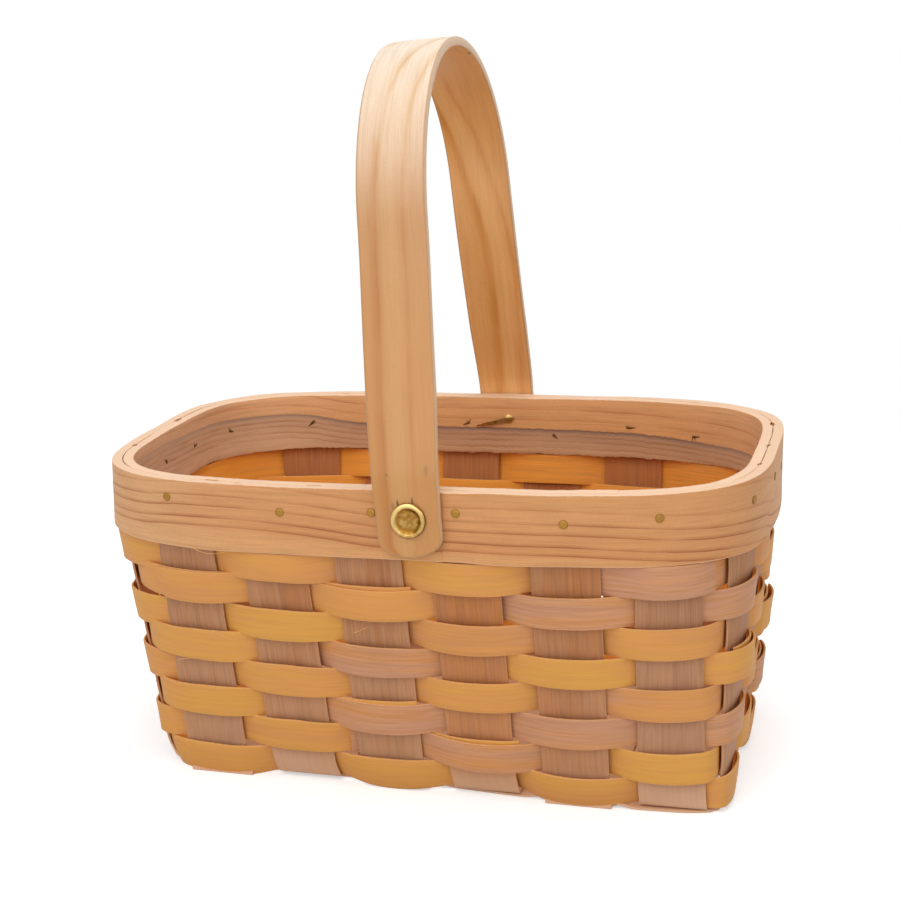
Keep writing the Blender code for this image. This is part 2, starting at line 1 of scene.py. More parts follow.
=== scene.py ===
"""Looks of a small splint basket with a swing handle.

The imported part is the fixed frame. Each piece here stands for its CAD node, in the same
place, with the bends, edges, laps and grain that the plain solids leave out. Metres, +Z up.
The origin is on the table under the middle of the rim, +X runs along the basket, and the
front is towards -Y.
"""
from __future__ import annotations

import logging
import math
from dataclasses import dataclass, field
from enum import Enum
from functools import cached_property
from typing import Any

import bpy
import numpy as np
from mathutils import Matrix, Vector

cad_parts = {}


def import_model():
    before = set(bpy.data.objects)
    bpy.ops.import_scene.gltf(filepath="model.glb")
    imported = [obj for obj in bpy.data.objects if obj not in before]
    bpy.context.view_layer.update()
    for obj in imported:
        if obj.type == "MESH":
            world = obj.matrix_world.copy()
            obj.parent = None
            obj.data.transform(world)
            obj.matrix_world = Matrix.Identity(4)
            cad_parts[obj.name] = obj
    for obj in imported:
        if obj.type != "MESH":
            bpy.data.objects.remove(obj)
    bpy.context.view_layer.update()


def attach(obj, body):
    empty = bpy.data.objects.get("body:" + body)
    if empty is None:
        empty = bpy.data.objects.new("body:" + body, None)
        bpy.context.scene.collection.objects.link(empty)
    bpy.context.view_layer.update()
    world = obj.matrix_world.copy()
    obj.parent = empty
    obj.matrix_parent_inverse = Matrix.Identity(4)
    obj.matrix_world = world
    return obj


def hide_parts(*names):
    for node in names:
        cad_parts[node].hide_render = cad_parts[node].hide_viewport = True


Array = np.ndarray
Knots = tuple[tuple[float, float], ...]  # rows of place and value, in order
Stops = tuple[tuple[float, str], ...]  # rows of a position on a ramp and its hex colour
Piece = bpy.types.Object
Material = bpy.types.Material
Tree = bpy.types.NodeTree
Socket = bpy.types.NodeSocket

LOG = logging.getLogger("basket")
MM = 0.001
GRAIN_MAP = "grain"  # the UV map of every wooden piece: metres along the grain and across it
OUTLINE_POINTS = 4800
UP = (0.0, 0.0, 1.0)
FORWARD = np.array([[1, 0], [0, 1], [-1, 0], [0, -1]], dtype=float)  # front, right, back, left
OUTWARD = np.array([[0, -1], [1, 0], [0, 1], [-1, 0]], dtype=float)


# Numbers

def linear(hex_colour: str) -> tuple[float, float, float, float]:
    """Turns an sRGB hex colour into linear red, green and blue, with an alpha of 1."""
    red, green, blue = [s / 12.92 if s <= 0.04045 else ((s + 0.055) / 1.055) ** 2.4
                        for s in (v / 255 for v in bytes.fromhex(hex_colour.lstrip("#")))]
    return red, green, blue, 1.0


def paled(hex_colour: str, share: float) -> str:
    """Mixes an sRGB hex colour towards white."""
    return bytes(round(v + (255 - v) * share)
                 for v in bytes.fromhex(hex_colour.lstrip("#"))).hex()


def ease(share: Array | float) -> Array:
    """Smooth step of a share held to 0..1: three times its square less twice its cube."""
    held = np.clip(share, 0.0, 1.0)
    return held * held * (3 - 2 * held)


def wander(distance: Array, wavelength: float, seed: int) -> Array:
    """Smooth random curve from -1 to 1: random values on an even lattice, eased between.

    Args:
        distance: where the curve is read, in metres.
        wavelength: spacing of the lattice, in millimetres.
        seed: which curve.

    Returns:
        One value for each distance.
    """
    count = 1024
    values = np.random.default_rng(seed).uniform(-1, 1, count)
    place = distance / (wavelength * MM)
    cell = np.floor(place).astype(int)
    share = ease(place - cell)
    return values[cell % count] * (1 - share) + values[(cell + 1) % count] * share


def walked(points: Array) -> Array:
    """Distance walked along a row of points, from 0 at the first one."""
    steps = np.linalg.norm(np.diff(points, axis=0), axis=1)
    return np.concatenate([[0.0], np.cumsum(steps)])


def drawn(knots: Knots, at: Array) -> Array:
    """Smooth curve through knots: cubic pieces that keep one slope on both sides of a knot."""
    place, value = np.transpose(knots)
    slope = np.gradient(value, place)
    k = np.clip(np.searchsorted(place, at) - 1, 0, len(place) - 2)
    span = place[k + 1] - place[k]
    t = np.clip((at - place[k]) / span, 0, 1)
    return (ease(1 - t) * value[k] + ease(t) * value[k + 1]
            + t * (1 - t) ** 2 * span * slope[k] - t ** 2 * (1 - t) * span * slope[k + 1])


def unit(vectors: Array) -> Array:
    """Vectors of the last axis at length 1."""
    return vectors / np.linalg.norm(vectors, axis=-1, keepdims=True)


# Meshes

@dataclass
class Grid:
    """A closed skin: rings of points one after another, capped at both ends."""

    points: Array  # (rings, ring points, 3)
    along: Array  # distance along the grain of each ring
    across: Array  # distance across the grain of each ring point
    layers: dict[str, Any] = field(default_factory=dict)  # point attributes by name

    def faces(self) -> tuple[Array, list[Array]]:
        """Outward quads and end caps, as point numbers.

        A quad has point j of ring i, its neighbour, and the same two of the next ring. All
        turn over where the volume that they shut in comes out negative.
        """
        rings, size = self.points.shape[:2]
        index = np.arange(rings * size).reshape(rings, size)
        beside = np.roll(index, -1, axis=1)
        quads = np.stack([index[:-1], beside[:-1], beside[1:], index[1:]], -1).reshape(-1, 4)
        a, b, c, d = self.points.reshape(-1, 3)[quads].transpose(1, 0, 2)
        volume = np.einsum("ij,ij->", a, np.cross(b, c)) + np.einsum("ij,ij->", a, np.cross(c, d))
        way = 1 if volume > 0 else -1
        return quads[:, ::way], [index[0][::-way], index[-1][::way]]

    def placed(self, axes: Array, spot: Array) -> Grid:
        """The same skin on other axes, at another spot."""
        return Grid(self.points @ axes + spot, self.along, self.across, self.layers)


def add_piece(name: str, grids: list[Grid], sharp: float = 40.0) -> Piece:
    """Puts one or more skins into one object with a grain map.

    Args:
        name: the object's name.
        grids: the skins.
        sharp: faces that meet at more than this many degrees keep a sharp edge.

    Returns:
        The new object, at the origin.
    """
    faces: list[list[int]] = []
    first = 0
    for grid in grids:
        quads, ends = grid.faces()
        faces += (quads + first).tolist() + [(end + first).tolist() for end in ends]
        first += grid.points.shape[0] * grid.points.shape[1]
    mesh = bpy.data.meshes.new(name)
    mesh.from_pydata(np.concatenate([g.points.reshape(-1, 3) for g in grids]).tolist(), [], faces)
    along = np.concatenate([np.repeat(g.along, g.points.shape[1]) for g in grids])
    across = np.concatenate([np.tile(g.across, g.points.shape[0]) for g in grids])
    corner = np.zeros(len(mesh.loops), dtype=np.int32)
    mesh.loops.foreach_get("vertex_index", corner)
    uv_map = mesh.uv_layers.new(name=GRAIN_MAP)
    uv_map.data.foreach_set("uv", np.stack([along[corner], across[corner]], axis=1).ravel())
    for layer in sorted({key for grid in grids for key in grid.layers}):
        values = [np.broadcast_to(g.layers.get(layer, 0.0), g.points.shape[:2]).ravel()
                  for g in grids]
        attribute = mesh.attributes.new(layer, "FLOAT", "POINT")
        attribute.data.foreach_set("value", np.concatenate(values).astype(np.float32))
    mesh.shade_smooth()
    mesh.set_sharp_from_angle(angle=math.radians(sharp))
    piece = bpy.data.objects.new(name, mesh)
    bpy.context.scene.collection.objects.link(piece)
    return piece


def settle(piece: Piece, body: str, slot: str, material: Material, *nodes: str) -> None:
    """Dresses a piece, ties it to its CAD body and hides the CAD nodes that it stands for."""
    piece.data.materials.append(material)
    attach(piece, body)
    if nodes:
        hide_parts(*nodes)
    LOG.info("%s: %d faces, rides on %s, stands for %s", piece.name, len(piece.data.polygons),
             body, ", ".join(nodes) or "nothing")


@dataclass(frozen=True)
class Section:
    """Section of a strip: a rectangle with a quarter circle at each corner.

    The ring starts at the outer face's low edge, climbs the outer face, crosses the upper
    edge and comes down the inner face.
    """

    width: float
    thickness: float
    radius: float
    steps: int
    corner_steps: int

    def ring(self) -> tuple[Array, Array, Array]:
        """Works the ring out.

        Returns:
            Place across the width, place through the thickness, and a share that is 0 on the
            faces and 1 on the two edges.
        """
        turn = np.linspace(0, math.pi / 2, self.corner_steps + 1)
        wide = self.width / 2 - self.radius
        deep = self.thickness / 2 - self.radius
        sine, cosine = self.radius * np.sin(turn), self.radius * np.cos(turn)
        face = np.linspace(-wide, wide, self.steps)
        flat = np.full(self.steps, deep + self.radius)
        across = np.concatenate([face, wide + sine[1:], wide + cosine[:-1],
                                 face[::-1], -wide - sine[1:], -wide - cosine[:-1]])
        through = np.concatenate([flat, deep + cosine[1:], -deep - sine[:-1],
                                  -flat, -deep - cosine[1:], deep + sine[:-1]])
        return across, through, ease((np.abs(across) - wide) / self.radius)


def full_turn(sides: int) -> Array:
    """Even angles round a circle."""
    return np.arange(sides) * 2 * math.pi / sides


def tube(path: Array, radii: Array, sides: int) -> Grid:
    """A round strand: a circle of some sides carried along a path, square to it."""
    direction = unit(np.gradient(path, axis=0))
    side = unit(np.cross(direction, (0.31, 0.47, 0.83)))  # no strand runs along this
    up = np.cross(side, direction)
    angle = full_turn(sides)[:, None]
    circle = side[:, None] * np.cos(angle) + up[:, None] * np.sin(angle)
    points = path[:, None] + circle * radii[:, None, None]
    return Grid(points, walked(path), np.arange(sides) * 0.1 * MM)


def turned(profile: Array, sides: int) -> Array:
    """Rings about local +X, from rows of height along the axis and radius."""
    angle = full_turn(sides)
    height = np.repeat(profile[:, :1], sides, axis=1)
    return np.stack([height, profile[:, 1:] * np.cos(angle), profile[:, 1:] * np.sin(angle)],
                    axis=-1)


# Finishes

def fill(tree: Tree, node: bpy.types.Node, inputs: dict[Any, Any]) -> None:
    """Links a node's inputs to sockets, or sets them to numbers and hex colours."""
    for key, value in inputs.items():
        if isinstance(value, Socket):
            tree.links.new(value, node.inputs[key])
        else:
            node.inputs[key].default_value = linear(value) if isinstance(value, str) else value


def add_node(tree: Tree, kind: str, inputs: dict[Any, Any] | None = None, out: str = "",
             stops: Stops = (), **settings: Any) -> Socket:
    """Adds a shader node with its settings and links.

    Args:
        tree: the node tree.
        kind: the node's type, without ShaderNode.
        inputs: what fill takes.
        out: name of the output wanted, if not the first one in use.
        stops: a colour ramp's stops.
        **settings: the node's own properties.

    Returns:
        The output socket.
    """
    node = tree.nodes.new("ShaderNode" + kind)
    for name, value in settings.items():
        setattr(node, name, value)
    fill(tree, node, inputs or {})
    if stops:
        ramp = node.color_ramp.elements
        while len(ramp) < len(stops):
            ramp.new(0.5)
        for element, (position, colour) in zip(ramp, stops):
            element.position, element.color = position, linear(colour)
    return node.outputs[out] if out else next(s for s in node.outputs if s.enabled)


class Recipe:
    """A material under way, and the kinds of node that the finishes share."""

    def __init__(self, name: str) -> None:
        """Starts the material with its Principled shader."""
        self.material = bpy.data.materials.new(name)
        self.material.use_nodes = True
        self.tree = self.material.node_tree

    @cached_property
    def grain_map(self) -> Socket:
        """The grain map's coordinates."""
        return add_node(self.tree, "UVMap", uv_map=GRAIN_MAP)

    def layers(self, *names: str) -> list[Socket]:
        """Point attributes of the piece."""
        return [add_node(self.tree, "Attribute", out="Fac", attribute_name=name)
                for name in names]

    def grain(self, long: float, wide: float, detail: float, roughness: float,
              moved: Any = (0.0, 0.0, 0.0), distortion: float = 0.0) -> Socket:
        """Noise stretched along the grain, of a size in millimetres along and across it."""
        place = add_node(self.tree, "Mapping", {
            "Vector": self.grain_map, "Location": moved,
            "Scale": (1 / (long * MM), 1 / (wide * MM), 1.0)})
        return add_node(self.tree, "TexNoise", {
            "Vector": place, "Scale": 1.0, "Detail": detail, "Roughness": roughness,
            "Distortion": distortion})

    def cloud(self, size: float, detail: float) -> Socket:
        """Even noise of a size in millimetres."""
        return add_node(self.tree, "TexNoise", {
            "Vector": add_node(self.tree, "TexCoord", out="Object"), "Scale": 1 / (size * MM),
            "Detail": detail})

    def maths(self, operation: str, *values: Any) -> Socket:
        """An operation on sockets and numbers."""
        return add_node(self.tree, "Math", dict(enumerate(values)), operation=operation)

    def span(self, value: Socket, low: float, high: float, to_low: Any = 0.0,
             to_high: Any = 1.0, curve: str = "LINEAR") -> Socket:
        """A value's range turned into another one, and held to it."""
        return add_node(self.tree, "MapRange", {
            "Value": value, "From Min": low, "From Max": high, "To Min": to_low,
            "To Max": to_high}, interpolation_type=curve)

    def swayed(self, value: Socket, pattern: Socket, reach: float) -> Socket:
        """A value moved up and down by a pattern."""
        return self.maths("ADD", value, self.span(pattern, 0.3, 0.7, -reach, reach))

    def ramp(self, place: Socket, stops: Stops) -> Socket:
        """A colour ramp."""
        return add_node(self.tree, "ValToRGB", {"Fac": place}, stops=stops)

    def mix(self, factor: Any, first: Any, second: Any, blend: str = "MIX") -> Socket:
        """Two colours mixed, or multiplied."""
        return add_node(self.tree, "Mix", {"Factor": factor, "A": first, "B": second},
                        data_type="RGBA", blend_type=blend)

    def tinted(self, shade: Socket, *tints: tuple[Socket, float, str]) -> Socket:
        """A colour with others laid over it, each by a factor and how much of it counts."""
        for factor, amount, colour in tints:
            shade = self.mix(self.maths("MULTIPLY", factor, amount), shade, colour)
        return shade

    def surface(self, colour: Socket, height: Socket, depth: float, strength: float,
                inputs: dict[str, Any], invert: bool = False) -> Material:
        """Finishes the material, with bumps of a depth in metres and other shader inputs."""
        bump = add_node(self.tree, "Bump", {"Height": height, "Distance": depth,
                                            "Strength": strength}, invert=invert)
        fill(self.tree, self.tree.nodes["Principled BSDF"],
             {"Base Color": colour, "Normal": bump, **inputs})
        return self.material


@dataclass(frozen=True)
class PeeledVeneer:
    """Poplar veneer peeled from the log and left bare.

    The knife leaves a dull surface of long fine fibres; the eye gets thin lines along the
    strip, slow changes of tone, and paler cut edges. The faces that look into the basket
    are mixed towards a deeper orange: painted shade and bounced light of the basket's inside.
    """

    name: str
    tones: Stops  # from tone 0 to tone 1
    fibre: str  # colour of the fine dark lines
    edge: str  # of the cut edges
    inside: str  # painted shade: the deeper colour of the faces that look into the basket
    pale: str  # painted light: the paler colour of a stake's foot, lit by the table's bounce
    pitch: float  # of the fine lines across the strip, in millimetres
    length: float  # of a line along the strip, in millimetres
    contrast: tuple[float, float]  # how the lines darken the veneer, at tone 0.4 and at 0.9
    figure: float  # how strongly the growth rings change the tone
    roughness: float
    depth: float  # height of the fibres

    def build(self) -> Material:
        """Makes the material."""
        recipe = Recipe(self.name)
        shift, tone, edge, inside, pale = recipe.layers("shift", "tone", "edge", "inside", "pale")
        moved = add_node(recipe.tree, "CombineXYZ", {"X": shift, "Z": shift})
        fibres, streaks, rings, patches = (
            recipe.grain(long, wide, detail, 0.6, moved, distortion)
            for long, wide, detail, distortion in (
                (self.length, self.pitch, 2.0, 0.0), (30, 1.1, 2.0, 0.0), (70, 3.4, 2.0, 0.3),
                (34, 13, 1.0, 0.0)))
        total = recipe.swayed(recipe.swayed(tone, rings, self.figure), patches, 0.14)
        # Painted shade and bounced light: the faces that look into the basket are mixed towards
        # the inside colour
        shade = recipe.mix(recipe.maths("MULTIPLY", inside, 0.75),
                           recipe.ramp(total, self.tones), self.inside)
        strength = recipe.span(tone, 0.4, 0.9, *self.contrast)
        for pattern in (streaks, fibres):
            shade = recipe.mix(recipe.span(pattern, 0.45, 0.70, 0.0, strength), shade, self.fibre)
        # Paler cut edges, and painted light where the pale layer is set
        shade = recipe.tinted(shade, (edge, 0.5, self.edge), (pale, 0.8, self.pale))
        return recipe.surface(shade, fibres, self.depth, 0.6, {
            "Roughness": self.roughness, "Specular IOR Level": 0.3}, invert=True)


@dataclass(frozen=True)
class SawnWood:
    """Poplar board, sawn thin, steamed and bent, then roughly sanded.

    The board is cut along the trunk, so the year's rings run along it: each ends in a thin
    dark line with a soft shade before it. The eye gets those lines, the fuzz of the saw
    across them, and pale cut edges with a thin bruise where they start.
    """

    name: str
    ground: Stops  # the wood's colour over the ring shares
    lines: Stops  # the year lines: a ring share, and what the wood is multiplied by there
    soft: float  # reach of the shade before a line
    snap: float  # how far the shade goes on after a line, as a share of that reach
    sway: float  # how far the lines wander, in ring shares
    fibre: str  # colour of the fine lines
    contrast: float  # how strongly they darken the wood
    edge: str  # colour of the cut edges
    bruise: float  # how dark the start of an edge is
    cast: tuple[str, str]  # painted shade: what the faces that look out and in are multiplied by
    pale: str  # painted light: the colour that the wood is lightened towards, over the handle's arch and on the bands
    # Dents and stains: along, across, half length and half width in millimetres, and strength
    marks: tuple[tuple[float, float, float, float, float], ...] = ()
    dirt: str = "#4f3826"
    roughness: float = 0.6
    gloss: float = 0.3
    shares: tuple[float, float] = (-0.8, 1.0)  # the lowest and the highest ring share

    def line_stops(self) -> Stops:
        """Ramp stops of the year lines: white, a soft shade, the line, and white again."""
        low, high = self.shares
        reach = self.soft / (high - low)
        stops: list[tuple[float, str]] = [(0.0, "ffffff")]
        for ring, colour in self.lines:
            at = (ring - low) / (high - low)
            stops += [(at - reach, "ffffff"), (at - 0.25 * reach, paled(colour, 0.62)),
                      (at, colour), (at + self.snap * reach, "ffffff")]
        return tuple(stops)

    def build(self) -> Material:
        """Makes the material."""
        recipe = Recipe(self.name)
        edge, ring, inside, pale = recipe.layers("edge", "ring", "inside", "pale")
        sway, ripple, fibres, streaks, patches, fuzz = (
            recipe.grain(long, wide, detail, 0.55) for long, wide, detail in (
                (70, 16, 2.0), (12, 5, 2.0), (14, 0.32, 2.0), (50, 1.4, 3.0), (30, 9, 2.0),
                (0.45, 2.4, 2.0)))
        ring = recipe.swayed(recipe.swayed(ring, sway, self.sway), ripple, 0.12 * self.sway)
        place = recipe.span(ring, *self.shares)
        # Painted light and shade: the faces that look out and in are multiplied by the cast
        # colours, and the pale layer lightens the wood
        toned = recipe.mix(1.0, recipe.ramp(place, self.ground),
                           recipe.mix(inside, *self.cast), "MULTIPLY")
        shade = recipe.mix(recipe.span(patches, 0.35, 0.6, 0.3, 1.0),
                           recipe.mix(pale, toned, self.pale),
                           recipe.ramp(place, self.line_stops()), "MULTIPLY")
        for pattern, low, high, amount in ((patches, 0.45, 0.75, 0.5), (streaks, 0.45, 0.72, 0.8),
                                           (fibres, 0.45, 0.70, 1.0), (fuzz, 0.50, 0.75, 0.5)):
            shade = recipe.mix(recipe.span(pattern, low, high, 0.0, amount * self.contrast),
                               shade, self.fibre)
        for along, across, half_long, half_wide, depth in self.marks:
            placed = add_node(recipe.tree, "Mapping", {
                "Vector": recipe.grain_map,
                "Location": (-along / half_long, -across / half_wide, 0.0),
                "Scale": (1 / (half_long * MM), 1 / (half_wide * MM), 1.0)})
            reach = add_node(recipe.tree, "VectorMath", {0: placed}, "Value", operation="LENGTH")
            shade = recipe.mix(recipe.span(reach, 0.2, 1.0, depth, 0.0, "SMOOTHSTEP"), shade,
                               self.dirt)
        # The bruise is strongest halfway into the edge, and none on the face or the cut
        hump = recipe.maths("MULTIPLY", edge, recipe.maths("SUBTRACT", 1.0, edge))
        shade = recipe.tinted(shade, (edge, 0.85, self.edge), (hump, 4 * self.bruise, self.fibre))
        return recipe.surface(shade, recipe.maths("MULTIPLY_ADD", fibres, 0.6, fuzz), 0.10 * MM,
                              0.5, {"Roughness": self.roughness, "Specular IOR Level": self.gloss})


@dataclass(frozen=True)
class StampedBrass:
    """Brass sheet, stamped and tumbled, then handled.

    The rim is rubbed bright; the hollow keeps a brown tarnish with smudges of 1 to 2 mm.
    The groove round it and one side of the rim are darkened, nearly to black in the groove,
    as is the brim of a nail's head: painted shade.
    """

    name: str
    colour: str  # of the bright metal
    tarnish: str  # of the dull metal: tarnish, and painted shade
    dirt_and_shade: str  # of the darkest metal: painted shade in the groove, and dirt
    roughness: tuple[float, float]  # of the bright metal and of the dull one

    def build(self) -> Material:
        """Makes the material."""
        recipe = Recipe(self.name)
        darkened, = recipe.layers("tarnish")
        dull = recipe.maths("MULTIPLY", darkened, recipe.span(recipe.cloud(1.4, 3.0), 0.3, 0.7,
                                                          0.6, 1.1))
        colour = recipe.ramp(recipe.maths("MULTIPLY", dull, 0.5), (
            (0.0, self.colour), (0.5, self.tarnish), (1.0, self.dirt_and_shade)))
        return recipe.surface(colour, recipe.cloud(0.35, 2.0), 0.015 * MM, 0.4, {
            "Roughness": recipe.span(dull, 0.0, 1.0, *self.roughness), "Metallic": 1.0})


@dataclass(frozen=True)
class TornWood:
    """Wood split open by a nail's point: the eye gets a dark, dull, fibrous tear."""

    name: str
    colour: str
    deep: str

    def build(self) -> Material:
        """Makes the material."""
        recipe = Recipe(self.name)
        fibres = recipe.cloud(0.5, 2.0)
        return recipe.surface(recipe.mix(fibres, self.colour, self.deep), fibres, 0.1 * MM, 0.8,
                              {"Roughness": 0.85})


# Peeled from pale sapwood: ochre, orange and rose strips, fine lined and slightly woolly;
# their deep orange inside colour is painted shade
WEAVER_VENEER = PeeledVeneer(
    name="peeled_poplar_veneer_ochre",
    tones=((0.0, "#d09644"), (0.33, "#cf904b"), (0.62, "#c88950"), (0.85, "#c48d66"),
           (1.0, "#bd896a")),
    fibre="#a56d3a", edge="#e3b47c", inside="#fba233", pale="#d39a58", pitch=0.35, length=14,
    contrast=(0.14, 0.40), figure=0.17, roughness=0.6, depth=0.05 * MM)
# Peeled from darker heartwood, which tears more: brown strips with close dull lines; their
# inside colour is painted shade, and their pale colour painted light from the table
STAKE_VENEER = PeeledVeneer(
    name="peeled_poplar_veneer_brown",
    tones=((0.0, "#a77656"), (0.20, "#b07f5a"), (0.33, "#b17d55"), (0.52, "#ac7248"),
           (0.80, "#b5733d"), (1.0, "#b97840")),
    fibre="#7c5238", edge="#cda078", inside="#bf7236", pale="#d8ae8c", pitch=0.26, length=16,
    contrast=(0.36, 0.36), figure=0.13, roughness=0.68, depth=0.07 * MM)
# Sawn and left rough: tan board with brown year lines that run off its edge at the ends
OUTER_BAND_WOOD = SawnWood(
    name="sawn_poplar_outer_band",
    ground=((0.0, "#c98d59"), (0.30, "#ca905b"), (0.48, "#cc925e"), (0.72, "#c98d59"),
            (0.80, "#c78a55"), (0.84, "#ce9560"), (1.0, "#d09a65")),
    lines=((-0.32, "#e6cdb6"), (0.02, "#dfc2a8"), (0.21, "#b08465"), (0.36, "#b98c6c"),
           (0.53, "#a87656"), (0.65, "#b98c6c")),
    soft=0.050, snap=0.18, sway=0.010, fibre="#99653d", contrast=0.27, edge="#efcbaa",
    bruise=0.0, cast=("#ffffff", "#ffffff"), pale="#d6a97c")
# Sawn beside the heart: golden board with a dark line, and greyer wood below that
# Its golden ground is set lighter than the outer band's: partly its own colour, partly painted
# light on the inner face
INNER_BAND_WOOD = SawnWood(
    name="sawn_poplar_inner_band",
    ground=((0.0, "#e6ae76"), (0.45, "#e6aa70"), (0.698, "#e0a266"), (0.709, "#78594c"),
            (0.724, "#9c7b66"), (0.75, "#bf9470"), (0.80, "#c49872"), (0.90, "#cfa178"),
            (1.0, "#d6a97d")),
    lines=((-0.25, "#e6cbb4"), (0.12, "#e3c6ac"), (0.30, "#eacfb8"), (0.60, "#dfc2aa"),
           (0.69, "#e4cbb6"), (0.80, "#dfc2aa"), (0.90, "#e4cbb6")),
    soft=0.05, snap=0.3, sway=0.016, fibre="#94694c", contrast=0.24, edge="#efcbaa",
    bruise=0.0, cast=("#ffffff", "#ffffff"), pale="#efcba8")
# Planed, steamed and bent, then handled: satin golden wood with dents beside the rivet. The
# paler arch is a painted highlight, and the darker outer face is painted shade
HANDLE_WOOD = SawnWood(
    name="sawn_poplar_handle",
    ground=((0.0, "#e3a967"), (0.42, "#e2a663"), (0.53, "#dea05c"), (0.57, "#d89850"),
            (0.62, "#e3a966"), (0.72, "#e8b070"), (0.84, "#e1a665"), (1.0, "#dfa261")),
    lines=((-0.38, "#eed8b6"), (0.27, "#ecd2a6"), (0.66, "#f2dfc4")),
    soft=0.16, snap=0.5, sway=0.025, fibre="#a06c3e", contrast=0.19, edge="#d4b08a",
    bruise=0.55, cast=("#d5cdbc", "#ffffff"), pale="#eedbc3",
    marks=((17.9, -2.9, 2.0, 0.6, 0.95), (18.6, 2.3, 1.9, 0.55, 0.9),
           (17.4, -4.6, 1.8, 0.9, 0.4), (27.3, -5.8, 0.7, 0.7, 0.5),
           (28.2, 7.8, 2.6, 1.2, 0.28), (220.5, 10.6, 1.3, 1.0, 1.0)),
    roughness=0.40, gloss=0.5)
# Stamped and handled: a bright rim round a brown hollow, with painted shade in the groove and on
# one side of the rim
RIVET_BRASS = StampedBrass("stamped_brass_rivet", "#dabb78", "#8a5e22", "#2a200e", (0.20, 0.40))
# Cut from wire and left alone: small dull brown heads with darker brims: painted shade
NAIL_BRASS = StampedBrass("stamped_brass_nail", "#9a7236", "#74532a", "#4a3417", (0.42, 0.6))
# Split by the nails' points: dark fuzzy slits
TEAR = TornWood("torn_poplar", "#a36c3a", "#573419")


# The wall that everything follows

class Outline:
    """A closed plan outline, read by the distance walked from the middle of its front side."""

    def __init__(self, points: Array) -> None:
        """Closes the row of points and measures it."""
        self.points = np.vstack([points, points[:1]])
        self.walked = walked(self.points)
        self.length = float(self.walked[-1])

    def at(self, distance: Array) -> Array:
        """Points at the given distances, which may run past a full turn."""
        wrapped = np.mod(distance, self.length)
        return np.stack([np.interp(wrapped, self.walked, self.points[:, k]) for k in (0, 1)],
                        axis=-1)

    def walk_to(self, side: int, along: Array) -> Array:
        """Distance walked to points of a side, 0 to 3, given by their coordinates along it."""
        middle = side * self.length / 4
        turned_to = np.mod(self.walked[:-1] - middle + self.length / 2, self.length)
        turned_to -= self.length / 2
        on_side = self.points[:-1] @ OUTWARD[side] > 0
        order = np.argsort(turned_to[on_side])
        coordinate = (self.points[:-1][on_side] @ FORWARD[side])[order]
        return middle + np.interp(along, coordinate, turned_to[on_side][order])


def superellipse(half_x: float, half_y: float, power: float) -> Outline:
    """Outline where |x / half_x| and |y / half_y|, each to the power, add up to 1."""
    angle = np.linspace(-math.pi / 2, 3 * math.pi / 2, OUTLINE_POINTS, endpoint=False)
    direction = np.stack([np.cos(angle), np.sin(angle)], axis=1)
    reach = (np.abs(direction / (half_x, half_y)) ** power).sum(axis=1) ** (-1 / power)
    return Outline(direction * reach[:, None])


def rounded_rectangle(half_x: float, half_y: float, corner: float) -> Outline:
    """Outline of a rectangle with arcs at its corners, anticlockwise from the front."""
    turn = np.linspace(0, math.pi / 2, 24)
    arcs = [np.stack([sign_x * (half_x - corner) + corner * np.cos(start + turn),
                      sign_y * (half_y - corner) + corner * np.sin(start + turn)], axis=1)
            for sign_x, sign_y, start in ((1, -1, -math.pi / 2), (1, 1, 0.0),
                                          (-1, 1, math.pi / 2), (-1, -1, math.pi))]
    rough = Outline(np.vstack([[[0.0, -half_y]], *arcs]))
    return Outline(rough.at(np.linspace(0, rough.length, OUTLINE_POINTS, endpoint=False)))


def centred(count: int, pitch: float, middle: float = 0.0) -> Array:
    """Coordinates of evenly pitched strips about a middle."""
    return middle + pitch * (np.arange(count) - (count - 1) / 2)


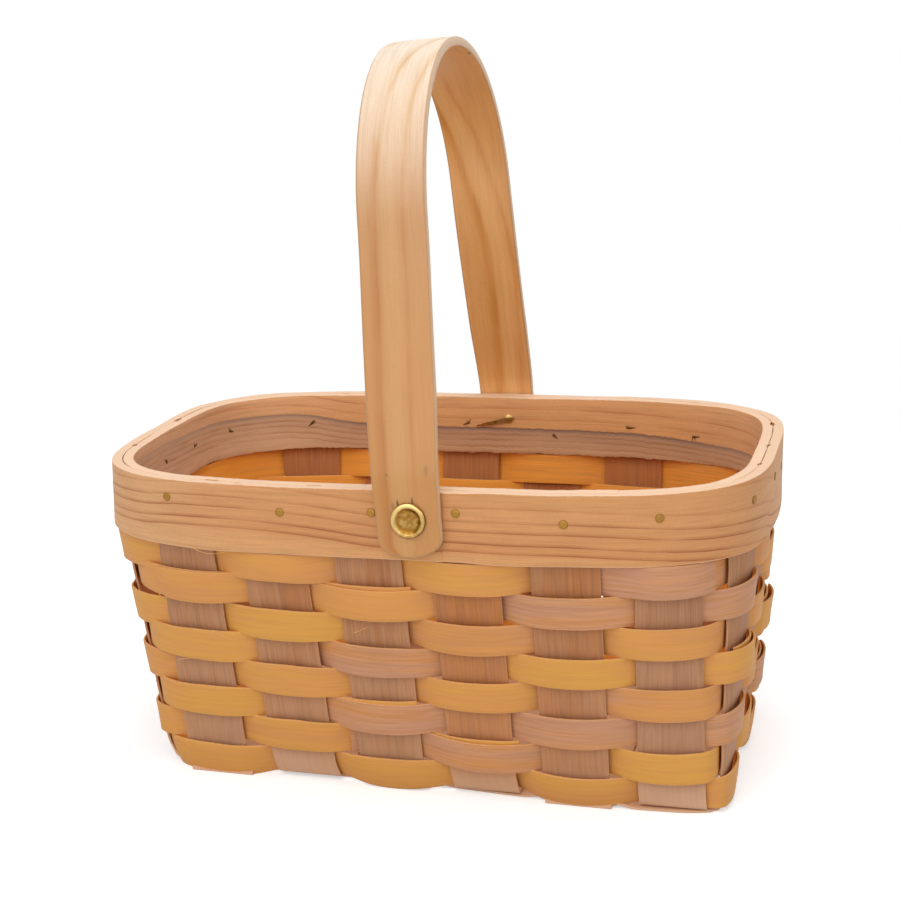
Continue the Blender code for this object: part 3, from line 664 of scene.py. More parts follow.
@dataclass
class Wall:
    """The stakes' middle surface, ruled between the base outline and the rim outline.

    A place on it is a stake coordinate and a height. Stake k, counted anticlockwise from the
    left end of the front, is centred on k and reaches stake_share either way. All sizes are
    the CAD part's.
    """

    rim_length: float = 227.6 * MM
    rim_width: float = 154.0 * MM
    rim_top: float = 109.4 * MM
    rim_power: float = 4.0
    rim_rise: float = 0.0256
    band_height: float = 23.2 * MM
    band_thickness: float = 3.0 * MM
    band_slot: float = 1.4 * MM
    veneer: float = 0.8 * MM
    stake_width: float = 22.2 * MM
    stake_top: float = 108.4 * MM
    stake_share: float = 0.35
    cross_strips: int = 6
    long_strips: int = 4
    base_length: float = 189.0 * MM
    base_width: float = 110.0 * MM
    base_corner: float = 5.0 * MM
    base_shift: float = 8.3 * MM
    foot_height: float = 12.0 * MM
    foot_curl: float = 0.16
    cross_pitch_base: float = 31.1 * MM
    cross_pitch_top: float = 32.1 * MM
    cross_middle_base: float = 10.1 * MM
    cross_middle_top: float = 5.5 * MM
    long_pitch: float = 27.2 * MM

    def __post_init__(self) -> None:
        """Works out the two outlines and where the stakes cross them."""
        inset = self.band_thickness + self.band_slot / 2
        self.stakes = 2 * (self.cross_strips + self.long_strips)
        self.through = 2 * self.band_thickness + self.band_slot  # from face to face
        self.kink = self.rim_top - self.band_height - 0.8 * MM  # upright above this
        self.cross_x = centred(self.cross_strips, self.cross_pitch_base, self.cross_middle_base)
        self.long_y = centred(self.long_strips, self.long_pitch)
        self.base = rounded_rectangle(self.base_length / 2, self.base_width / 2,
                                      self.base_corner)
        self.top = superellipse(self.rim_length / 2 - inset, self.rim_width / 2 - inset,
                                self.rim_power)
        self.base_knots = self._knots(self.base, centred(
            self.cross_strips, self.cross_pitch_base, self.cross_middle_base - self.base_shift))
        self.top_knots = self._knots(self.top, centred(
            self.cross_strips, self.cross_pitch_top, self.cross_middle_top))

    def _knots(self, outline: Outline, cross_x: Array) -> tuple[Array, Array]:
        """Stake coordinates against distance walked, past one turn at both ends.

        Args:
            outline: the outline that the stakes cross.
            cross_x: middles of the cross strips there.

        Returns:
            The stake coordinates and the distances.
        """
        middles = np.concatenate([
            outline.walk_to(0, cross_x), outline.walk_to(1, self.long_y),
            outline.walk_to(2, -cross_x[::-1]), outline.walk_to(3, -self.long_y[::-1])])
        turns = np.arange(-2, 3)[:, None]
        middles = (turns * outline.length + middles).ravel()
        places = (turns * self.stakes + np.arange(self.stakes)).ravel()
        sides = np.array([-1, 0, 1])
        return ((places[:, None] + self.stake_share * sides).ravel(),
                (middles[:, None] + self.stake_width / 2 * sides).ravel())

    def point(self, place: Array, height: Array) -> Array:
        """Points of the surface at places and heights, before the rim's rise is added.

        The plan point is the base outline's and the rim outline's, mixed by a share that
        grows evenly up to the kink, less a curl that brings the foot in.
        """
        place, height = np.broadcast_arrays(place, height)
        base = self.base.at(np.interp(place, *self.base_knots)) + (self.base_shift, 0.0)
        top = self.top.at(np.interp(place, *self.top_knots))
        share = (1 - self.foot_curl) * np.clip(height / self.kink, 0.0, 1.0)
        share = share + self.foot_curl * (
            1 - (1 - np.clip(height / self.foot_height, 0.0, 1.0)) ** 2)
        share = share[..., None]
        return np.concatenate([base * (1 - share) + top * share, height[..., None]], axis=-1)

    def normal(self, place: Array, height: Array) -> Array:
        """Outward unit normals, from points a little to each side, above and below."""
        reach, rise = 0.03, 0.5 * MM
        along = self.point(place + reach, height) - self.point(place - reach, height)
        upward = self.point(place, height + rise) - self.point(place, height - rise)
        return unit(np.cross(along, upward))

    def offset(self, place: Array, height: Array, distance: Array) -> Array:
        """Points at distances off the surface, outwards where positive, with the rise."""
        place, height, distance = np.broadcast_arrays(place, height, distance)
        return self.risen(self.point(place, height)
                          + self.normal(place, height) * distance[..., None])

    def risen(self, points: Array) -> Array:
        """Adds the rim's climb towards +X, in full at the rim and none at the table."""
        lifted = np.array(points)
        lifted[..., 2] += self.rim_rise * lifted[..., 0] * lifted[..., 2] / self.rim_top
        return lifted


# Rim

@dataclass(frozen=True)
class RimBand:
    """One bent band of the rim, open at its seam. Its knots are by stake coordinate."""

    node: str
    seam: float  # stake coordinate of the seam
    height: float
    side: int  # 1 outside the stakes, -1 inside
    ragged: float  # how far the saw's tear-out frays its low edge, in millimetres
    seed: int
    drift: Knots  # how far down the board the year rings have run, in shares of its height
    painted_light_share: Knots  # painted light: how far its colour is lightened
    flare: Knots = ((-1.1, 0.0), (18.9, 0.0))  # how far its low edge stands away, in mm
    radius: float = 0.33 * MM
    slit: float = 0.08 * MM
    spring: float = 0.12 * MM  # how far the seam's first end stands off
    spring_reach: float = 0.35  # stakes
    lean_start: float = 0.9 * MM  # below the stakes' tops
    lean_reach: float = 1.2 * MM
    sections: int = 1500
    # Places where the two bands don't quite meet over the stakes' tops
    open_places: tuple[float, ...] = (6.55, 7.55, 8.8, 16.9, 18.4, 0.35, 1.45)
    open_reach: float = 0.05  # stakes either way, and as many again to ease over

    def grid(self, wall: Wall) -> Grid:
        """The band's section carried round the wall.

        Above the stakes' tops the band leans over to meet the other one, except at the
        open places.

        Args:
            wall: the wall.

        Returns:
            The band's skin.
        """
        across, through, edge = Section(self.height, wall.band_thickness, self.radius,
                                        14, 3).ring()
        half_slit = self.slit / 2 / (wall.rim_length * math.pi / wall.stakes)
        place = np.linspace(self.seam + half_slit, self.seam + wall.stakes - half_slit,
                            self.sections)
        line = walked(wall.offset(place, wall.rim_top, 0.0))
        share = across / self.height + 0.5
        fray = wander(line, 1.1, self.seed + 1) + 0.7 * wander(line, 4.3, self.seed + 2)
        low = (0.30 * wander(line, 21, self.seed) + self.ragged * fray) * MM
        high = (0.16 * wander(line, 16, self.seed + 3)
                + 0.05 * wander(line, 1.6, self.seed + 4) - 0.16) * MM
        height = (wall.rim_top - self.height / 2 + across
                  + low[:, None] * (1 - share) + high[:, None] * share)
        facing_slot = through * self.side < 0
        nearest = np.min([np.abs(place % wall.stakes - p) for p in self.open_places], axis=0)
        shut = ease((nearest - self.open_reach) / self.open_reach)
        shut = shut * (0.90 + 0.1 * wander(line, 9, self.seed + 5))
        above = ease((height - wall.stake_top + self.lean_start) / self.lean_reach)
        lean = shut[:, None] * above * facing_slot * wall.band_slot / 2
        bow = (0.05 * MM * wander(line, 55, self.seed + 6)
               + self.spring * np.exp((place[0] - place) / self.spring_reach))
        first = self.drift[0][0]
        around = (place - first) % wall.stakes + first
        flare = drawn(self.flare, around)[:, None] * MM * (1 - share) ** 2
        distance = (self.side * (wall.band_slot + wall.band_thickness) / 2 + through
                    - self.side * lean
                    + self.side * (bow[:, None] + flare) * (1 - 0.7 * facing_slot))
        return Grid(wall.offset(place[:, None], height, distance), line, across, {
            "edge": edge, "ring": 1 - share - drawn(self.drift, around)[:, None],
            "inside": 1.0 * (through < 0),
            "pale": np.clip(drawn(self.painted_light_share, around), 0, 1)[:, None]})


OUTER_BAND = RimBand(
    "outer_rim_band", 2.80, Wall.band_height, 1, 0.03, 31,
    drift=((-1.1, 0.20), (0.0, 0.0), (0.8, 0.0), (1.5, 0.07), (2.1, 0.17), (2.8, 0.19),
           (4.0, 0.20), (4.5, 0.23), (5.3, 0.32), (5.95, 0.40), (7.83, 0.75), (9.5, 0.60),
           (12.0, 0.35), (15.0, 0.45), (17.5, 0.35), (18.9, 0.20)),
    # Painted light: lighter from the right end round the back to the left end, none across most of
    # the front
    painted_light_share=((-1.1, 0.7), (-0.3, 0.5), (0.5, 0.15), (1.5, 0.0), (5.0, 0.0), (6.6, 0.25),
            (7.6, 0.5), (18.9, 0.7)),
    flare=((-1.1, 0.0), (5.4, 0.0), (6.4, 0.0), (7.5, 1.0), (8.6, 0.0), (9.6, 0.0),
           (18.9, 0.0)))
INNER_BAND = RimBand(
    "inner_rim_band", 4.5, 22.2 * MM, -1, 0.22, 41,
    drift=((-1.1, -0.30), (0.0, -0.20), (3.0, 0.10), (6.0, 0.20), (9.8, 0.18), (10.3, 0.15),
           (11.4, 0.09), (12.4, 0.08), (13.4, 0.08), (14.5, 0.02), (14.97, -0.09),
           (15.65, -0.15), (16.5, -0.19), (17.8, -0.27), (18.9, -0.30)),
    # Painted light: lighter round the left end, a little along the front and right end, none along
    # the back
    painted_light_share=((-1.1, 0.6), (1.0, 0.3), (9.0, 0.3), (10.5, 0.0), (14.0, 0.0), (16.0, 0.35),
            (17.5, 0.6), (18.9, 0.6)))


# Plaiting

class Cut(Enum):
    """How a weaver's end is cut."""

    SQUARE = "square"
    ROUND = "round"
    SLANT = "slant"


class Tone(Enum):
    """Tone of a strip of veneer, as a place on its finish's ramp."""

    YELLOW = 0.08
    OCHRE = 0.28
    ORANGE = 0.50
    ROSE = 0.88


@dataclass(frozen=True)
class Lap:
    """A place where one weaver ends and the next begins."""

    low: float  # stake coordinate where the next one starts
    high: float  # and where the last one ends
    last_outside: bool  # whether the last one lies outside the next
    tone: Tone  # of the next one
    peek: float = 0.0  # how far the covered end shows above the other
    spread: float = 0.0  # extra room between the two
    start_cut: Cut = Cut.SQUARE  # of the next one
    end_cut: Cut = Cut.SQUARE  # of the last one


@dataclass(frozen=True)
class Row:
    """One row of weaving: its laps in order, and its sag in mm by stake coordinate."""

    number: int
    laps: tuple[Lap, ...]
    sag: Knots


ROWS = (
    Row(1, (Lap(3.7, 4.3, False, Tone.ROSE), Lap(4.9, 5.46, True, Tone.ORANGE),
            Lap(12.7, 13.3, True, Tone.OCHRE)),
        sag=((-2.3, 0.0), (-1.0, 2.0), (0.0, 0.2), (1.0, -1.1), (2.0, 0.2), (3.0, 0.0))),
    Row(2, (Lap(-0.38, 2.42, False, Tone.OCHRE, peek=1.0 * MM, start_cut=Cut.ROUND,
                end_cut=Cut.SLANT),
            Lap(2.7, 3.3, True, Tone.ROSE), Lap(6.7, 7.3, True, Tone.OCHRE)),
        sag=((-0.9, 0.0), (-0.3, -1.2), (0.5, -1.4), (1.3, 0.0), (3.3, 0.0), (4.0, -0.3),
             (4.7, 0.0), (9.4, 0.0), (10.4, -0.7), (15.6, -0.7), (16.6, 0.0))),
    Row(3, (Lap(1.7, 2.3, True, Tone.ORANGE), Lap(3.7, 4.3, True, Tone.OCHRE),
            Lap(13.7, 14.3, True, Tone.YELLOW)),
        sag=((-2.3, 0.0), (-1.0, 2.5), (0.0, 0.2), (0.5, 0.0), (2.3, 0.0), (3.0, 0.5),
             (3.7, 0.0))),
    Row(4, (Lap(0.7, 1.3, True, Tone.ROSE), Lap(2.7, 3.3, False, Tone.YELLOW),
            Lap(5.72, 8.35, True, Tone.OCHRE, peek=0.5 * MM, spread=0.9 * MM),
            Lap(14.7, 15.3, True, Tone.YELLOW)),
        sag=((-0.8, 0.0), (0.0, -0.5), (0.8, 0.0), (2.2, 0.0), (2.65, 0.9), (3.1, 0.0))),
    Row(5, (Lap(3.7, 4.3, False, Tone.ORANGE), Lap(9.7, 10.3, True, Tone.OCHRE)),
        sag=((-2.3, 0.0), (-1.0, 1.0), (0.0, 0.0), (1.0, -0.3), (2.0, 0.0))),
    Row(6, (Lap(0.9, 2.36, False, Tone.ROSE, peek=1.2 * MM, end_cut=Cut.SLANT),
            Lap(7.6, 8.4, True, Tone.ORANGE, spread=0.4 * MM),
            Lap(16.7, 17.3, True, Tone.YELLOW)),
        sag=((-0.7, 0.0), (0.0, -0.3), (0.7, 0.0), (1.6, 0.0), (2.5, -0.4), (3.0, 0.0),
             (3.5, 0.45), (4.0, 0.6), (5.0, 0.0))),
    Row(7, (Lap(1.57, 3.42, False, Tone.ROSE, peek=1.1 * MM, end_cut=Cut.SLANT),
            Lap(3.7, 4.3, True, Tone.YELLOW), Lap(11.7, 12.3, True, Tone.OCHRE)),
        sag=((-2.3, 0.0), (-1.0, 1.6), (0.2, 0.1), (1.0, -0.6), (1.8, 0.0), (2.4, 0.0),
             (3.0, 0.9), (3.65, 1.5), (4.2, 0.6), (5.0, 1.0), (6.0, 0.5), (7.0, 0.0))),
    Row(8, (Lap(2.7, 3.3, True, Tone.OCHRE), Lap(15.7, 16.3, True, Tone.YELLOW)),
        sag=((-1.6, 0.0), (-0.6, 1.4), (0.2, 1.6), (1.5, 0.5), (2.0, 0.0), (2.6, 0.0),
             (3.3, -0.3), (4.0, 0.7), (4.8, 0.5), (6.0, 0.0))),
)


@dataclass
class Weavers:
    """The eight weavers, each over one stake and under the next."""

    wall: Wall
    width: float = 10.2 * MM
    first_bottom: float = 2.2 * MM
    pitch: float = 10.49 * MM
    crown: float = 2.6 * MM  # a weaver's middle off a stake's middle
    fullness: float = 0.25  # how far the wave is squared off
    layer: float = 0.95 * MM  # between the middles of two lapped weavers
    lap_ease: float = 0.35  # stakes over which a weaver moves aside for a lap
    tuck: float = 1.15 * MM  # how far row 1 reaches up to the inner band
    meet: float = 0.32 * MM  # and to the outer one
    cut_length: float = 5.5 * MM
    # What a cut takes off at the very end, in shares of half the width
    rounding: tuple[float, float] = (1.15, 0.35)  # from below and from above
    slant: float = 0.9
    peek_places: tuple[float, float] = (0.25, 0.8)  # stakes past an end, and eased over
    sections: int = 36  # to a stake
    # How much further a weaver's upper and lower edges reach at a crown, in millimetres,
    # by stake coordinate: the stiff strip stands more upright where it rounds a corner
    above: Knots = ((-2.0, 0.3), (-1.0, 0.9), (0.0, 1.5), (1.0, 1.5), (2.0, 0.4), (3.0, 0.2),
                    (5.0, 0.3), (6.0, 0.3), (18.0, 0.3))
    below: Knots = ((-2.0, 0.1), (0.0, 0.0), (1.0, 0.2), (2.0, 0.5), (5.0, 0.4), (18.0, 0.1))

    def level(self, number: int) -> float:
        """Height of a row's middle before it sags."""
        return self.first_bottom + (len(ROWS) - number) * self.pitch + self.width / 2

    def height(self, row: Row, place: Array) -> Array:
        """Height of a row's middle, with its sag."""
        turns = np.concatenate([np.array(row.sag) + (k * self.wall.stakes, 0)
                                for k in (-2, -1, 0, 1, 2)])
        return self.level(row.number) - np.interp(place, turns[:, 0], turns[:, 1]) * MM

    def run(self, row: Row, index: int) -> Grid:
        """One weaver of a row, from its lap's low end to the next lap's high end.

        Its distance off the wall is crown times w times (1 + fullness (1 - w squared)), with
        w the wave: 1 at the crown outside a stake and -1 inside the next. Where two are
        lapped, the outer one stands a layer further out outside the stakes, and the inner one
        a layer further in inside them.

        Args:
            row: the row.
            index: which lap it starts at.

        Returns:
            Its skin.
        """
        wall = self.wall
        starting = row.laps[index]
        ending = row.laps[(index + 1) % len(row.laps)]
        turn = wall.stakes if index + 1 >= len(row.laps) else 0
        start, end = starting.low, ending.high + turn
        place = np.linspace(start, end, max(24, int((end - start) * self.sections)))
        across, through, edge = Section(self.width, wall.veneer, 0.2 * MM, 8, 2).ring()
        wave = np.cos(math.pi * (place + row.number))
        off = self.crown * wave * (1 + self.fullness * (1 - wave ** 2))
        lift = np.zeros_like(place)
        for lap, past, away, outer in (
                (starting, place - starting.high, place - starting.low,
                 not starting.last_outside),
                (ending, ending.low + turn - place, ending.high + turn - place,
                 ending.last_outside)):
            room = self.layer + lap.spread * (1 + wave) / 2
            shift = room * (1 + wave) / 2 if outer else -self.layer * (1 - wave) / 2
            off = off + shift * ease(1 - past / self.lap_ease)
            if not outer:
                lift += lap.peek * ease(1 - (away - self.peek_places[0]) / self.peek_places[1])
        line = walked(wall.offset(place, self.height(row, place), off))
        seed = 100 * row.number + 10 * index
        middle = self.height(row, place) + lift + 0.12 * MM * wander(line, 30, seed)
        low = 0.035 * wander(line, 17, seed + 1) - 1
        high = 0.035 * wander(line, 19, seed + 2) + 0.97
        around = (place + 2.0) % wall.stakes - 2.0
        rise, fall = (np.interp(around, *np.transpose(knots)) * MM * (1 + wave) / 2
                      for knots in (self.above, self.below))
        if row.number == 1:
            # Its upper edge stays under the bands whatever its sag
            rise = self.meet + (self.tuck - self.meet) * ease((0.7 - wave) / 0.7)
            rise = rise + self.level(1) - self.height(row, place)
        low, high = low - 2 * fall / self.width, high + 2 * rise / self.width
        for cut, from_end in ((starting.start_cut, line), (ending.end_cut, line[-1] - line)):
            near = np.clip(1 - from_end / self.cut_length, 0, 1)
            if cut is Cut.ROUND:
                low = low + self.rounding[0] * (1 - np.sqrt(1 - near ** 2))
                high = high - self.rounding[1] * (1 - np.sqrt(1 - near ** 2))
            elif cut is Cut.SLANT:
                low = low + self.slant * near
        share = across / self.width + 0.5
        height = middle[:, None] + self.width / 2 * (low[:, None] * (1 - share)
                                                     + high[:, None] * share)
        cup = 0.12 * MM * wander(line, 40, seed + 3)[:, None] * (2 * share - 1) ** 2
        twist = 0.18 * MM * wander(line, 33, seed + 4)[:, None] * (2 * share - 1)
        # Painted shade: the tone turns darker where a weaver dips behind a stake, except on rose
        # strips
        tone = (starting.tone.value + 0.08 * wander(line, 60, seed + 5)
                + 0.16 * ease(0.5 - wave) * (starting.tone is not Tone.ROSE))
        return Grid(wall.offset(place[:, None], height, off[:, None] + through + cup + twist),
                    line, across,
                    {"edge": edge, "tone": tone[:, None], "inside": 1.0 * (through < 0),
                     "shift": 7.3 * row.number + 1.7 * index})

    def build(self, material: Material) -> None:
        """Makes the rows, each as one piece."""
        for row in ROWS:
            grids = [self.run(row, index) for index in range(len(row.laps))]
            settle(add_piece(f"weaver_{row.number}", grids), "basket", "weaver_veneer",
                   material, f"weaver_row_{row.number}")


@dataclass
class Strips:
    """The ten strips, each two stakes and the base strip between them."""

    wall: Wall
    weavers: Weavers
    low_layer: float = 0.4 * MM
    high_layer: float = 1.5 * MM
    margin: float = 0.3 * MM
    bend: float = 1.5 * MM
    give: float = 0.22 * MM  # how far a weaver pushes a stake's middle aside
    step: float = 1.1 * MM
    steady: tuple[float, float] = (6.0 * MM, 4.0 * MM)  # below the kink and above the bend
    # Painted light from the table's bounce: the stakes turn paler below the first height, and a
    # little below the second
    bounce_light_heights: tuple[float, float] = (21.0 * MM, 80.0 * MM)
    # How far the feet of some strips bulge, and how far long strip 1 has slipped forwards
    bulges: tuple[float, ...] = (3.6, 0.0, 0.8, 0.0, 3.4)
    slip: Knots = ((-60.0, 0.0), (-12.0, 1.0), (10.0, 1.5), (30.0, 3.2), (48.0, 4.2),
                   (80.0, 5.0), (95.0, 3.4), (104.0, 0.0))
    cross_tones: tuple[float, ...] = (0.20, 0.38, 0.30, 0.80, 0.52, 0.08)
    long_tones: tuple[float, ...] = (0.15, 0.45, 0.35, 0.25)

    def outward(self, stake: int) -> Array:
        """The way out on the side that a stake stands on."""
        ends = np.cumsum([self.wall.cross_strips, self.wall.long_strips,
                          self.wall.cross_strips])
        return np.append(OUTWARD[np.searchsorted(ends, stake, side="right")], 0.0)

    def wall_rows(self, stake: int, share: Array, level: float) -> tuple[Array, Array]:
        """Rows of a stake from its top down to the end of the bend at its foot.

        The weavers push it in where they pass outside and out where they pass inside, as a
        cosine with one half turn to a row.

        Args:
            stake: the stake's number.
            share: places across it, from -1 to 1 in the direction of the stake coordinate.
            level: height of the base strip that it turns into.

        Returns:
            The rows' middle points and the directions of the veneer's inner face.
        """
        wall, weavers = self.wall, self.weavers
        foot = level + self.bend
        height = np.linspace(wall.stake_top, foot, int((wall.stake_top - foot) / self.step))
        row = (weavers.level(0) - height) / weavers.pitch
        fade = (ease((wall.kink - height) / self.steady[0])
                * ease((height - foot) / self.steady[1]))
        push = -self.give * np.cos(math.pi * (stake + row)) * fade
        place = stake + wall.stake_share * share
        normal = wall.normal(place, height[:, None])
        return wall.point(place, height[:, None]) + normal * push[:, None, None], -normal

    def bend_rows(self, stake: int, share: Array, level: float) -> tuple[Array, Array]:
        """Rows of the bend at a stake's foot, from the wall to the base, without its ends.

        Each is a point of the quadratic curve pulled by the corner of wall and base.

        Args:
            stake: the stake's number.
            share: places across it.
            level: height of the base strip.

        Returns:
            The rows' middle points and the directions of the veneer's inner face.
        """
        wall, outward = self.wall, self.outward(stake)
        place = stake + wall.stake_share * share
        corner = wall.point(place, np.array(level))
        on_wall = wall.point(place, np.array(level + self.bend))
        on_base = corner - outward * self.bend
        inward = -wall.normal(place, np.array(level + self.bend))
        t = np.linspace(1, 0, 9)[1:, None, None]
        rows = (1 - t) ** 2 * on_base + 2 * t * (1 - t) * corner + t ** 2 * on_wall
        bulge = self.bulges[stake] * MM if stake < len(self.bulges) else 0.0
        rows = rows + 4 * t * (1 - t) * bulge * (outward - 0.1 * np.array(UP))
        return rows, unit((1 - t) * np.broadcast_to(UP, corner.shape) + t * inward)

    def base_rows(self, first: int, ends: tuple[Array, Array], crossed: Array,
                  levels: Array) -> Array:
        """Rows of a base strip, eased up and down between the strips that it crosses.

        Args:
            first: its first stake.
            ends: its first and last rows.
            crossed: middles of the strips that it crosses, in order.
            levels: its height at each of them.

        Returns:
            (rows, ring points, 3) middle points.
        """
        axis = 1 if first < self.wall.cross_strips else 0
        begin, finish = ends[0][0, axis], ends[1][0, axis]
        way = np.linspace(0, 1, int(abs(finish - begin) / self.step))[1:-1]
        run = begin + (finish - begin) * way
        reach = np.sign(crossed[-1] - crossed[0]) * (self.wall.stake_width / 2 + self.margin)
        height = np.full_like(run, levels[0])
        for k in range(len(crossed) - 1):
            leave, arrive = crossed[k] + reach, crossed[k + 1] - reach
            height += (levels[k + 1] - levels[k]) * ease((run - leave) / (arrive - leave))
        rows = ends[0] * (1 - way)[:, None, None] + ends[1] * way[:, None, None]
        rows[..., 2] = height[:, None]
        if first == self.wall.cross_strips:
            rows[..., 1] -= drawn(self.slip, run / MM)[:, None] * MM
        return rows

    def strip(self, name: str, first: int, last: int, crossed: Array, levels: Array,
              tone: float, seed: int) -> Piece:
        """A strip from its first stake's top, down, across the base and up its last stake.

        Args:
            name: the piece's name.
            first: its first stake.
            last: its last stake.
            crossed: middles of the strips that it crosses, in order.
            levels: its height at each of them.
            tone: its tone on the finish's ramp.
            seed: which run of small unevennesses.

        Returns:
            The piece.
        """
        wall = self.wall
        across, through, edge = Section(wall.stake_width, wall.veneer, 0.2 * MM, 10, 2).ring()
        share = 2 * across / wall.stake_width
        ends = ((first, share, levels[0]), (last, -share, levels[-1]))
        down, rise = (self.wall_rows(*end) for end in ends)
        turn, foot = (self.bend_rows(*end) for end in ends)
        level = self.base_rows(first, (turn[0][-1], foot[0][-1]), crossed, levels)
        middle, face = (np.concatenate([down[k], turn[k], flat, foot[k][::-1], rise[k][::-1]])
                        for k, flat in enumerate((level, np.broadcast_to(UP, level.shape))))
        line = walked(middle[:, len(share) // 4])
        width_run = 0.12 * MM * np.stack([wander(line, 15, seed), wander(line, 13, seed + 1)],
                                         axis=1)
        direction = unit(middle[:, 9] - middle[:, 0])
        shift = np.where(share < 0, width_run[:, :1], width_run[:, 1:]) * np.abs(share) ** 3
        points = middle - face * through[None, :, None] + direction[:, None] * shift[..., None]
        # Painted light: paler towards the stakes' feet, standing in for the table's bounce
        faint, strong = (ease(1 - points[..., 2] / height) for height in self.bounce_light_heights[::-1])
        layers = {"edge": edge, "shift": 0.37 * seed, "inside": 1.0 * (through < 0),
                  "tone": (tone + 0.10 * wander(line, 45, seed + 2))[:, None],
                  "pale": np.maximum(strong, 0.25 * faint)}
        return add_piece(name, [Grid(wall.risen(points), line, across, layers)])

    def build(self, material: Material) -> None:
        """Makes the ten strips: each passes over and under in turn."""
        wall = self.wall
        over = np.add.outer(np.arange(wall.cross_strips), np.arange(wall.long_strips)) % 2 == 1
        layers = np.where(over, self.high_layer, self.low_layer)
        under = self.high_layer + self.low_layer - layers
        for kind, start, end, crossed, levels, tones, seed in (
                ("cross", 0, wall.stakes - wall.long_strips - 1, wall.long_y, layers,
                 self.cross_tones, 1000),
                ("long", wall.cross_strips, wall.stakes - 1, wall.cross_x[::-1],
                 under.T[:, ::-1], self.long_tones, 2000)):
            for k, tone in enumerate(tones):
                piece = self.strip(f"{kind}_splint_{k + 1}", start + k, end - k, crossed,
                                   levels[k], tone, seed + 10 * k)
                settle(piece, "basket", "stake_veneer", material, f"{kind}_strip_{k + 1}")


# Handle

